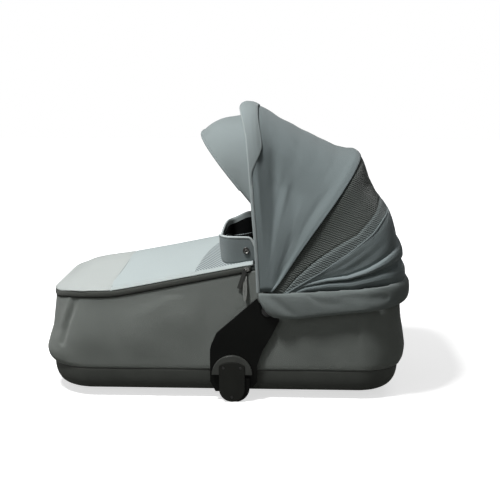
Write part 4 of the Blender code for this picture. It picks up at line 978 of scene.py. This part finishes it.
# The crown's line from the head end over to the front rib: angles at the hinge, and reaches from it.
crown_angles = (4.0, 9.3, 13.5, 16.7, 20.0, 24.4, 27.5, 30.8, 34.3, 37.2, 40.9, 45.2, 50.7, 54.1, 56.8,
                59.5, 61.5, 65.8, 72.7, 79.6, 86.1, 92.45, front_angle)
crown_reach = (0.3080, 0.3200, 0.3235, 0.3240, 0.3265, 0.3300, 0.3345, 0.3390, 0.3430, 0.3455, 0.3472,
               0.3530, 0.3665, 0.3810, 0.3928, 0.3942, 0.3895, 0.3821, 0.3844, 0.3947, 0.4150, 0.4440,
               0.4495)
fine_angles = np.linspace(crown_angles[0], front_angle, 450)
fine_reach = smoothed(np.interp(fine_angles, crown_angles, crown_reach), 20)
arch_angles = (tuck_angle, rear_angle, middle_angle, front_angle)
arch_squares = (4.5, 4.5, 3.4, 3.2)
leg_reaches = (0.045, 0.058, 0.070, 0.084)


def square_at(angle):
    """How square the hood's arch is there: 2 is an ellipse, and more is squarer."""
    return float(np.interp(angle, arch_angles, arch_squares))


def hood_point(angle, reach, across):
    """Place on the hood, by its angle and reach from the hinge and its distance to the side."""
    turn = math.radians(angle)
    return pivot + np.array((math.cos(turn) * reach, across, math.sin(turn) * reach))


def arch_at(turn, crown, power):
    """Reach and sideways place at one turn of an arch of the hood."""
    reach = arch_start + (crown - arch_start) * math.sin(turn) ** (2 / power)
    return reach, -math.copysign(cloth_side * abs(math.cos(turn)) ** (2 / power), math.cos(turn))


def hood_arch(crown, power, columns=96):
    """Reaches and sideways places along one arch of the hood, from hinge to hinge."""
    line = [(reach, -cloth_side) for reach in leg_reaches]
    for k in range(columns + 1):
        line.append(arch_at(math.pi * k / columns, crown, power))
    return line + [(reach, cloth_side) for reach in reversed(leg_reaches)]


def hood_panel(name, rows, look, angle_of, proud_of, typical, slant=0.0, marks=None):
    """Panel of hood cloth. Rows run from hinge to hinge; proud_of lifts each point off the arch."""
    grid, uv, faces = [], [], []
    for i in range(rows + 1):
        part = i / rows
        nominal = angle_of(part, typical)
        crown = float(np.interp(nominal, fine_angles, fine_reach))
        line = hood_arch(crown, square_at(nominal))
        steps = [math.hypot(b[0] - a[0], b[1] - a[1]) for a, b in zip(line, line[1:])]
        lengths = np.concatenate(([0.0], np.cumsum(steps)))
        row, cloth, face_row = [], [], []
        for (reach, across), length in zip(line, lengths):
            height = max(0.0, (reach - arch_start) / (crown - arch_start))
            angle = angle_of(part, reach)
            proud = proud_of(part, reach, height, angle, across)
            upward = height ** 4
            wide = across * (1 + proud * (1 - upward) / cloth_side)
            row.append(hood_point(angle, reach + proud * upward, wide))
            near = min(length, lengths[-1] - length)
            turn = math.radians(angle) - slant
            cloth.append((math.cos(turn) * near + (0.9 if across > 0 else 0.0), math.sin(turn) * near))
            face_row.append(0 if marks is None else marks(part, reach))
        grid.append(row)
        uv.append(cloth)
        faces.append(face_row)
    return skin(name, grid, look, np.array(uv), thickness=0.0016, offset=0.0, marks=faces)


def across_ribs(piece):
    """Bakes a panel's placing into its mesh."""
    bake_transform(piece)


hem_front_reach = (0.045, 0.084, 0.120, 0.176, 0.220, 0.276, 0.330, 0.385, 0.420, 0.4515)
hem_front_ahead = (0.0200, 0.0178, 0.0163, 0.0143, 0.0137, 0.0130, 0.0122, 0.0128, 0.0175, 0.0245)


def hem_front(reach):
    """How far the front hem reaches ahead of its rib."""
    return float(np.interp(reach, hem_front_reach, hem_front_ahead))


def band_back(reach):
    """How far the front hem reaches back from its rib: wide on the crown, a mere edge below."""
    wide = eased_step(reach, 0.300, 0.372)
    crown_width = 0.0225 - 0.0045 * eased_step(reach, 0.372, 0.440)
    return crown_width * wide - (hem_front(reach) - 0.0070) * (1 - wide)


def seam_ahead(reach):
    """How far the middle seam runs ahead of its rib."""
    low_down, at_hinge = 1 - eased_step(reach, 0.12, 0.40), 1 - eased_step(reach, 0.03, 0.08)
    return 0.0010 + 0.0108 * low_down + 0.004 * at_hinge


def front_angles(part, reach):
    """Angle of the front panel's cloth, from the hem (part 0) to the middle seam (part 1)."""
    first = front_angle - math.degrees((band_back(reach) - 0.0015) / reach)
    last = middle_angle + math.degrees(seam_ahead(reach) / reach)
    return first + (last - first) * part


# Each fold: its first angle and reach, its last angle and reach, its width in degrees and its depth.
# For a fold's run, one degree counts as much as 25 mm of reach.
rib_clear, reach_degrees, left_turn = 0.0072, 40, 2.5
front_folds = ((90.0, 0.372, 85.5, 0.280, 2.3, 0.0095), (83.4, 0.335, 75.0, 0.240, 1.6, 0.0036),
               (80.5, 0.292, 82.4, 0.232, 1.2, -0.0020), (62.6, 0.300, 66.6, 0.225, 1.5, 0.0034),
               (60.6, 0.330, 65.4, 0.172, 1.6, -0.0022), (73.4, 0.150, 70.1, 0.090, 1.6, 0.0030),
               (88.0, 0.170, 78.0, 0.084, 2.0, -0.0020), (87.5, 0.260, 86.0, 0.130, 2.2, 0.0030),
               (93.4, 0.352, 91.4, 0.316, 0.9, 0.0034))


def hood_fold(angle, reach, first, last, width, depth):
    """One fold of the hood's cloth, by the angles and reaches of its two ends."""
    ends = [(end_angle, end_reach * reach_degrees) for end_angle, end_reach in (first, last)]
    return float(crease(angle, reach * reach_degrees, *ends, width, depth))


def front_proud(part, reach, height, angle, across):
    """How far the front panel stands off its arch: drawn in behind the rib, and out at its seams."""
    behind = front_angle - math.degrees(rib_clear / reach)
    seam = middle_angle + math.degrees(seam_ahead(reach) / reach)
    share = min(1.0, max(0.0, (behind - angle) / (behind - seam)))
    belly = math.sin(math.pi * share * (1 + 1.0 * (1 - share) ** 2))
    side = min(1.0, height / 0.6) ** 1.3 * (1 - height ** 7)
    proud = -(0.0220 + 0.0150 * height ** 2) * belly * side
    proud += 0.0036 * math.exp(-((part - 0.955) / 0.045) ** 2) + 0.0022 * eased_step(part, 0.96, 1.0)
    proud += 0.0022 * math.exp(-(part / 0.05) ** 2) * (1 - height ** 4) * eased_step(reach, 0.28, 0.34)
    shift = left_turn if across > 0 else 0.0
    held = min(1.0, 5 * belly + 2 * height ** 8 * math.sin(math.pi * part))
    for a0, r0, a1, r1, width, depth in front_folds:
        proud += held * hood_fold(angle + shift, reach, (a0, r0), (a1, r1), width, depth)
    proud += 0.0016 * held * noise.noise(Vector((angle * 0.10, reach * 9.0, 0.3 if across < 0 else 5.1)))
    return proud


hood_blue = woven("hood_blue", (0.185, 0.220, 0.224), 0.06, 0.10)
front_panel = hood_panel("front_panel", 72, hood_blue, front_angles, front_proud, 0.40)
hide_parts("hood_panel_front")
across_ribs(front_panel)


# Hood, knit panel: an airy dark knit in slanting chevron rows between the middle and rear ribs.
# It folds over on itself along the rear seam, and the doubled strip there is painted lighter, as painted
# light.
chevron_half_width, chevron_slope, chevron_row = 0.0027, 0.62, 0.0048


def knitted(name, colour):
    """Knit cloth: rows of raised chevrons, darker between them."""
    made = woven(name, colour, 0.05, 0.08, pitch=0.0016)
    tree = made.node_tree
    sum_of = partial(reckoned, tree)
    place = tree.nodes.new("ShaderNodeUVMap")
    place.uv_map = "cloth"
    parts = tree.nodes.new("ShaderNodeSeparateXYZ")
    tree.links.new(place.outputs["UV"], parts.inputs[0])
    zigzag = sum_of("PINGPONG", parts.outputs["X"], chevron_half_width)
    slanted = sum_of("ADD", parts.outputs["Y"], sum_of("MULTIPLY", zigzag, chevron_slope))
    rows = sum_of("SINE", sum_of("MULTIPLY", slanted, math.tau / chevron_row))
    coloured(tree, colour, sum_of("ADD", sum_of("MULTIPLY", rows, 0.34), 1.0))
    raised(tree, rows, 0.8, 0.0008)
    return made


rear_seam_reach = (0.04, 0.0716, 0.115, 0.15, 0.22, 0.29, 0.325, 0.345)
rear_seam_angle = (47.0, 42.0, 38.0, 36.6, 36.1, 36.6, 38.0, 38.0)
knit_fold_reach = (0.04, 0.10, 0.1335, 0.1933, 0.2627, 0.3239, 0.345)
knit_fold_angle = (49.0, 50.5, 48.6, 45.0, 41.2, 42.2, 43.4)
knit_fold_part = 0.7


def rear_seam(reach):
    """Angle of the seam between the knit and the rear panel."""
    return float(np.interp(reach, rear_seam_reach, rear_seam_angle))


def knit_angles(part, reach):
    """Angle of the knit's cloth, from the middle seam to its fold and on to the rear seam."""
    first = middle_angle + math.degrees(seam_ahead(reach) / reach)
    fold = min(float(np.interp(reach, knit_fold_reach, knit_fold_angle)), first - 2.0)
    last = min(rear_seam(reach), fold - 1.0)
    if part < knit_fold_part:
        return first + (fold - first) * part / knit_fold_part
    return fold + (last - fold) * (part - knit_fold_part) / 0.3


def knit_proud(part, reach, height, angle, across):
    """How far the knit stands off its arch: slack between the ribs, and raised where it doubles."""
    belly = math.sin(math.pi * min(part / knit_fold_part, 1.0)) * (1 - 0.8 * height ** 4)
    rise = eased_step(part, 0.69, 0.80) * 0.0020
    groove = 0.0018 * math.exp(-((part - 0.70) / 0.035) ** 2)
    slack = 0.0012 * noise.noise(Vector((angle * 0.12, reach * 10.0, 1.3 if across < 0 else 8.1)))
    doubled = (rise - groove) * min(1.0, reach / 0.12)
    return -0.0060 * belly * height ** 0.5 + doubled - 0.0012 * (part < 0.01) + slack


knit_dark = knitted("knit_dark", (0.104, 0.116, 0.108))
# A lighter copy of the same knit for the doubled strip: painted light where that strip faces the lamp.
knit_painted_light = knitted("knit_painted_light", (0.150, 0.174, 0.172))
knit_panel = hood_panel("knit_panel", 50, [knit_dark, knit_painted_light], knit_angles, knit_proud, 0.34,
                        slant=math.radians(-14), marks=lambda part, reach: int(part >= 0.699))
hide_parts("hood_panel_mesh")
across_ribs(knit_panel)

# Hood, rear panel: smooth cloth from the rear rib that falls in three stacked folds behind the
# valance. The top fold is a stitched welt that swings down from the head end to the hinge.
fold_reach = (0.040, 0.100, 0.131, 0.156, 0.194, 0.236, 0.270, 0.307, 0.326, 0.345)
welt_upper = (44.0, 37.8, 34.0, 28.8, 24.6, 23.5, 23.9, 24.8, 25.4, 25.4)
welt_lower = (42.0, 35.5, 31.0, 26.3, 22.4, 21.2, 20.9, 20.0, 18.4, 17.6)
fold_lower = (38.0, 32.5, 28.6, 24.6, 20.6, 19.4, 18.5, 17.2, 16.0, 15.4)
fold_tuck = (34.0, 27.0, 21.0, 17.5, 14.0, 13.0, 11.8, 7.0, 6.0, 5.6)
rear_shares = (0.0, 0.50, 0.66, 0.76, 1.0)
# The folds from the rear rib down: shares of the cloth, and how far it stands off its arch there.
rear_profile = ((0.00, 0.0026), (0.03, 0.0036), (0.10, 0.0028), (0.25, 0.0008), (0.42, -0.0022),
                (0.49, -0.0056), (0.505, 0.0012), (0.53, 0.0048), (0.58, 0.0066), (0.63, 0.0054),
                (0.655, 0.0010), (0.67, -0.0076), (0.70, -0.0086), (0.74, -0.0064), (0.765, 0.0006),
                (0.80, 0.0034), (0.86, 0.0036), (0.93, -0.0010), (1.00, -0.0070))
rear_parts, rear_lifts = np.array(rear_profile).T
rear_creases = (((31.0, 0.31), (27.0, 0.21), 1.7, 0.0013), ((34.0, 0.275), (31.5, 0.17), 1.4, 0.0009))


def rear_angles(part, reach):
    """Angle of the rear panel's cloth, from the rear seam through its folds to the tuck."""
    marks = [rear_seam(reach) + 0.4]
    for line in (welt_upper, welt_lower, fold_lower, fold_tuck):
        marks.append(min(float(np.interp(reach, fold_reach, line)), marks[-1] - 0.5))
    return float(np.interp(part, rear_shares, marks))


def rear_proud(part, reach, height, angle, across):
    """How far the rear panel stands off its arch: a welt and two folds, with a crease or two above."""
    lift = float(np.interp(part, rear_parts, rear_lifts)) * min(1.0, 0.30 + 0.70 * (reach - 0.10) / 0.12)
    shift = 1.2 if across > 0 else 0.0
    if part < 0.47:
        for first, last, width, depth in rear_creases:
            lift += hood_fold(angle + shift, reach, first, last, width, depth)
    slack = 0.0012 * noise.noise(Vector((part * 6.0, reach * 11.0, 2.0 if across < 0 else 7.0)))
    return lift + slack * math.sin(math.pi * part)


# The rear panel's cloth is the hood's blue made lighter: painted light.
rear_painted_light_blue = woven("rear_painted_light_blue", (0.232, 0.274, 0.279), 0.05, 0.08)
rear_panel = hood_panel("rear_panel", 130, rear_painted_light_blue, rear_angles, rear_proud, 0.345)
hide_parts("hood_panel_rear")
across_ribs(rear_panel)


# Hood seams: a black cord behind the front panel's roll, and a narrow rolled edge where the rear
# panel laps over the knit. Both are sewn to the ribs' sleeves.
def arch_band(name, angle_of, crown, power, section, look, loop=True):
    """Band or cord along one arch of the hood, from its section at each reach."""
    line = hood_arch(crown, power, 120)
    centres = [hood_point(angle_of(reach), reach, across) for reach, across in line]
    grid = []
    for k, (reach, across) in enumerate(line):
        turn = math.radians(angle_of(reach))
        sweep = np.array((-math.sin(turn), 0.0, math.cos(turn)))
        run = centres[min(k + 1, len(line) - 1)] - centres[max(k - 1, 0)]
        out = np.cross(run, sweep)
        out /= np.linalg.norm(out)
        height = max(0.0, (reach - arch_start) / (crown - arch_start))
        grid.append([centres[k] + sweep * along + out * proud for along, proud in section(reach, height)])
    return skin(name, grid, look, loop=loop, thickness=0.0 if loop else 0.0016, offset=0.0)


def round_section(radius, flatten, lift):
    """Section of a cord: round, or flattened along the cloth, and lifted off it."""
    sides = 12
    ring = [(radius * flatten * math.cos(math.tau * k / sides),
             lift + radius * math.sin(math.tau * k / sides)) for k in range(sides)]
    return lambda reach, height: ring


def middle_seam(reach):
    """Angle of the middle seam."""
    return middle_angle + math.degrees((seam_ahead(reach) + 0.0004) / reach)


def rear_lap(reach):
    """Angle of the rear panel's lapped edge, just ahead of the rear seam."""
    return rear_seam(reach) + 0.2


hem_blue = woven("hem_blue", (0.195, 0.230, 0.234), 0.05, 0.08)
middle_crown = float(np.interp(middle_angle, fine_angles, fine_reach))
rear_crown = float(np.interp(38.0, fine_angles, fine_reach))
middle_cord = arch_band("middle_cord", middle_seam, middle_crown, arch_squares[2],
                        round_section(0.0013, 1.0, 0.0002), black_tape_and_shadow)
rear_edge = arch_band("rear_edge", rear_lap, rear_crown, arch_squares[1],
                      round_section(0.0014, 1.5, 0.0022), hem_blue)
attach(middle_cord, "hood_middle")
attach(rear_edge, "hood_rear")

# Front hem: a stiff padded band over the front rib, rounded and wide on the crown, which runs out
# into a pale rolled binding down to the hinges.
hem_crown, hem_square = 0.4530, arch_squares[3]
hem_places = (-0.0250, -0.0171, -0.0119, -0.0028, 0.0053, 0.0124, 0.0185, 0.0250)
hem_lifts = (-0.0105, -0.0055, -0.0015, 0.0025, 0.0042, 0.0049, 0.0034, 0.0002)


def hem_section(reach, height):
    """Section of the hem: flat and narrow at the legs, full and rounded on the crown."""
    front, back = hem_front(reach) - 0.0030, -band_back(reach)
    full = eased_step(height, 0.35, 0.85)
    section = []
    for share in np.linspace(0.0, 1.0, 21):
        along = front + (back - front) * share
        crowned = float(np.interp(along, hem_places, hem_lifts))
        flat = 0.0010 - 0.0022 * share ** 6
        section.append((along, flat + (crowned - flat) * full))
    return section


def binding_section(reach, height):
    """Section of the binding: a flat roll that tips over the hem's edge on the crown."""
    full = eased_step(height, 0.35, 0.85)
    centre, lift = hem_front(reach) - 0.0040, 0.0004 - 0.0006 * full
    tilt = -0.45 * full
    ring = []
    for k in range(16):
        turn = math.tau * k / 16
        along, proud = 0.0042 * math.cos(turn), 0.0025 * math.sin(turn)
        ring.append((centre + along * math.cos(tilt) - proud * math.sin(tilt),
                     lift + along * math.sin(tilt) + proud * math.cos(tilt)))
    return ring


hem_pale_blue = woven("hem_pale_blue", (0.250, 0.288, 0.290), 0.05, 0.08)
binding_pale = woven("binding_pale", (0.330, 0.372, 0.374), 0.04, 0.06)
front_hem = arch_band("front_hem", lambda reach: front_angle, hem_crown, hem_square, hem_section,
                      hem_pale_blue, False)
front_binding = arch_band("front_binding", lambda reach: front_angle, hem_crown, hem_square,
                          binding_section, binding_pale)
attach(front_hem, "hood_front")
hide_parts("hood_front_hem")
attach(front_binding, "hood_front")

# Sun visor: cloth stretched from under the front hem over a sprung wire bow, which is sewn into
# its rounded edge. It flips forward to shade the face and folds back under the hem.
visor_hinge = hood_point(front_angle, 0.2225, 0.0)
visor_turn, visor_lean = math.radians(129.5), math.radians(24)
visor_crown, visor_half, visor_square = 0.2123, 0.1873, 3
visor_rise = np.array((-math.sin(visor_lean), 0.0, math.cos(visor_lean)))
edge_margin, root_margin = math.radians(9), math.radians(14)
visor_columns, visor_cloth_rows, visor_tuck_rows = 96, 32, 4


def visor_point(turn):
    """Place on the visor's wire bow."""
    reach = visor_crown * math.sin(turn) ** (2 / visor_square)
    across = -math.copysign(visor_half * abs(math.cos(turn)) ** (2 / visor_square), math.cos(turn))
    return visor_hinge + np.array((reach * math.cos(visor_turn), across, reach * math.sin(visor_turn)))


def between(margin, k):
    """Turn along an arch, with a margin left at each of its ends."""
    return margin + (math.pi - 2 * margin) * k / visor_columns


visor_rows = [[] for row in range(visor_tuck_rows + visor_cloth_rows + 1)]
hem_sweep = math.radians(front_angle)
front_sweep = np.array((-math.sin(hem_sweep), 0.0, math.cos(hem_sweep)))
for k in range(visor_columns + 1):
    edge = visor_point(between(edge_margin, k))
    reach, across = arch_at(between(root_margin, k), hem_crown, hem_square)
    crown_share = max(0.0, (reach - arch_start) / (hem_front_reach[-1] - arch_start)) ** 2
    root = hood_point(front_angle, reach - 0.0022 - 0.0235 * crown_share, across * 0.992)
    root = root + front_sweep * (hem_front(reach) - 0.004)
    tuck = hood_point(front_angle, reach - 0.0022 - 0.0060 * crown_share, across * 0.988)
    for i in range(visor_tuck_rows):
        visor_rows[i].append(tuck + (root - tuck) * i / visor_tuck_rows)
    for i in range(visor_cloth_rows + 1):
        part = i / visor_cloth_rows
        puff = 0.0105 * crown_share * math.sin(math.pi * part ** 1.35)
        dip = 0.0030 * (1 - crown_share) * math.sin(math.pi * part)
        wave = 0.0014 * noise.noise(Vector((k * 0.06, part * 2.2, 9.0))) * math.sin(math.pi * part)
        point = root + (edge - root) * part + visor_rise * (puff + wave)
        point[1] -= math.copysign(dip, point[1]) if abs(point[1]) > 0.02 else 0.0
        visor_rows[visor_tuck_rows + i].append(point)
visor_pale = woven("visor_pale", (0.245, 0.283, 0.285), 0.05, 0.08)
visor = skin("visor_cover", visor_rows, visor_pale, thickness=0.0014, offset=0.0)
visor_hem = cord_along("visor_hem", visor_rows[-1], 0.0031, visor_pale, sides=12)
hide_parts("visor_cloth")
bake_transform(visor)
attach(visor_hem, "visor")
dress("visor_wire", wire_steel)


# Valance: a soft padded band sewn round the head end, which covers the hood's hinges. Its wadding
# is swelled by a cloth simulation, so it is full between its seams and dips softly.
valance_front, front_round = 0.0774, 0.28
valance_side_in, valance_end_in = 0.0284, 0.0205
side_steps, corner_steps, end_steps, ring_steps = 54, 24, 14, 32
head_corner, end_half = rim_head_x - rim_corner, rim_half - rim_corner
to_head = np.array((1.0, 0.0))
strands = []
for side in (1.0, -1.0):
    strand = []
    for k in range(side_steps):
        x = valance_front + (head_corner - valance_front) * (k / side_steps) ** 1.35
        strand.append((np.array((x, side * rim_half)), np.array((0.0, side))))
    for k in range(corner_steps):
        turn = 0.5 * math.pi * k / corner_steps
        out = np.array((math.sin(turn), side * math.cos(turn)))
        strand.append((np.array((head_corner, side * end_half)) + out * rim_corner, out))
    for k in range(end_steps):
        strand.append((np.array((rim_head_x, side * end_half * (1 - k / end_steps))), to_head))
    strands.append(strand)
valance_path = strands[0] + [(np.array((rim_head_x, 0.0)), to_head)] + strands[1][::-1]
# Dips on the right and on the left: first place and height, last place and height, width and depth.
valance_dips = (((0.106, 0.250, 0.158, 0.206, 0.0085, 0.0042),
                 (0.090, 0.240, 0.136, 0.204, 0.0100, -0.0026),
                 (0.186, 0.257, 0.214, 0.238, 0.0050, 0.0026),
                 (0.214, 0.238, 0.262, 0.234, 0.0070, 0.0018),
                 (0.270, 0.250, 0.350, 0.246, 0.0090, 0.0020)),
                ((0.112, 0.250, 0.166, 0.210, 0.0085, 0.0038),
                 (0.240, 0.250, 0.330, 0.244, 0.0110, 0.0022)))
valance_grid = []
for place, out in valance_path:
    share = (max(place[0], valance_front) - valance_front) / (rim_head_x - valance_front)
    top = 0.2560 + 0.0200 * share ** 1.3
    low = 0.1951 + 0.0279 * max(0.0, share - front_round) / 0.72
    if share < front_round:
        low += 0.0520 * ((front_round - share) / front_round) ** 5.0
    turned = out[0] ** 2
    inner = valance_side_in + (valance_end_in - valance_side_in) * turned
    thick = (0.0078 + 0.0052 * turned) * min(1.0, 0.34 + 2.6 * share ** 0.6)
    curl = eased_step(share, 0.20, 0.42)
    wall_side = 0.0100 + 0.0078 * turned
    ring = []
    for k in range(ring_steps):
        turn = math.tau * k / ring_steps
        face, up = math.cos(turn), math.sin(turn)
        z = 0.5 * (top + low) + 0.5 * (top - low) * math.copysign(abs(up) ** 0.82, up)
        if face >= 0:
            soft = 0.0012 * noise.noise(Vector((place[0] * 14, place[1] * 9, z * 22)))
            for x0, z0, x1, z1, width, depth in valance_dips[0 if place[1] < 0 else 1]:
                soft += float(crease(place[0], z, (x0, z0), (x1, z1), width, depth)) * (1 - turned)
            distance = inner + thick * face ** 0.55 + soft * face
        else:
            foot = max(0.0, 1 - (z - low) / (0.22 * (top - low)))
            distance = inner + (wall_side - inner) * curl * foot ** 1.5 + 0.0004 * face
        ring.append((*(place + out * distance), z))
    valance_grid.append(ring)
valance_grey = woven("valance_grey", (0.205, 0.232, 0.226), 0.07, 0.10, solid=True)
valance = skin("valance_band", valance_grid, valance_grey, loop=True)
closed(valance)
swelled(valance, 0.0035, 0.0012, 4.0)
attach(valance, "carrycot")
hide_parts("valance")

# Side arms and connectors: black glass-filled mouldings that carry the hood's hinge and click
# onto a pushchair frame. A flat cover with three screws closes each connector.
arm_black = grained("arm_black", (0.0035, 0.0039, 0.0034), 0.46, 1000.0, 0.0003, specular=0.14)
cover_black = grained("cover_black", (0.0085, 0.0092, 0.0074), 0.50, 1200.0, 0.0002, specular=0.28)
button_black = grained("button_black", (0.054, 0.057, 0.052), 0.34, 1200.0, 0.0002)
screw_steel = grained("screw_steel", (0.09, 0.09, 0.09), 0.35, 800.0, 0.0001, 1.0, 0.2)
for side in ("left", "right"):
    dress(f"side_arm_{side}", arm_black, 0.0022, 3)
    dress(f"connector_housing_{side}", arm_black, 0.0008)
    dress(f"connector_cover_{side}", cover_black, 0.0009, 3)
    dress(f"release_button_{side}", button_black, 0.0016, 3)
    dress(f"latch_bolt_{side}", wire_steel, 0.0006)
    dress(f"latch_spring_{side}", wire_steel)
    for place in ("front", "rear", "low"):
        dress(f"cover_screw_{place}_{side}", screw_steel, 0.0003)
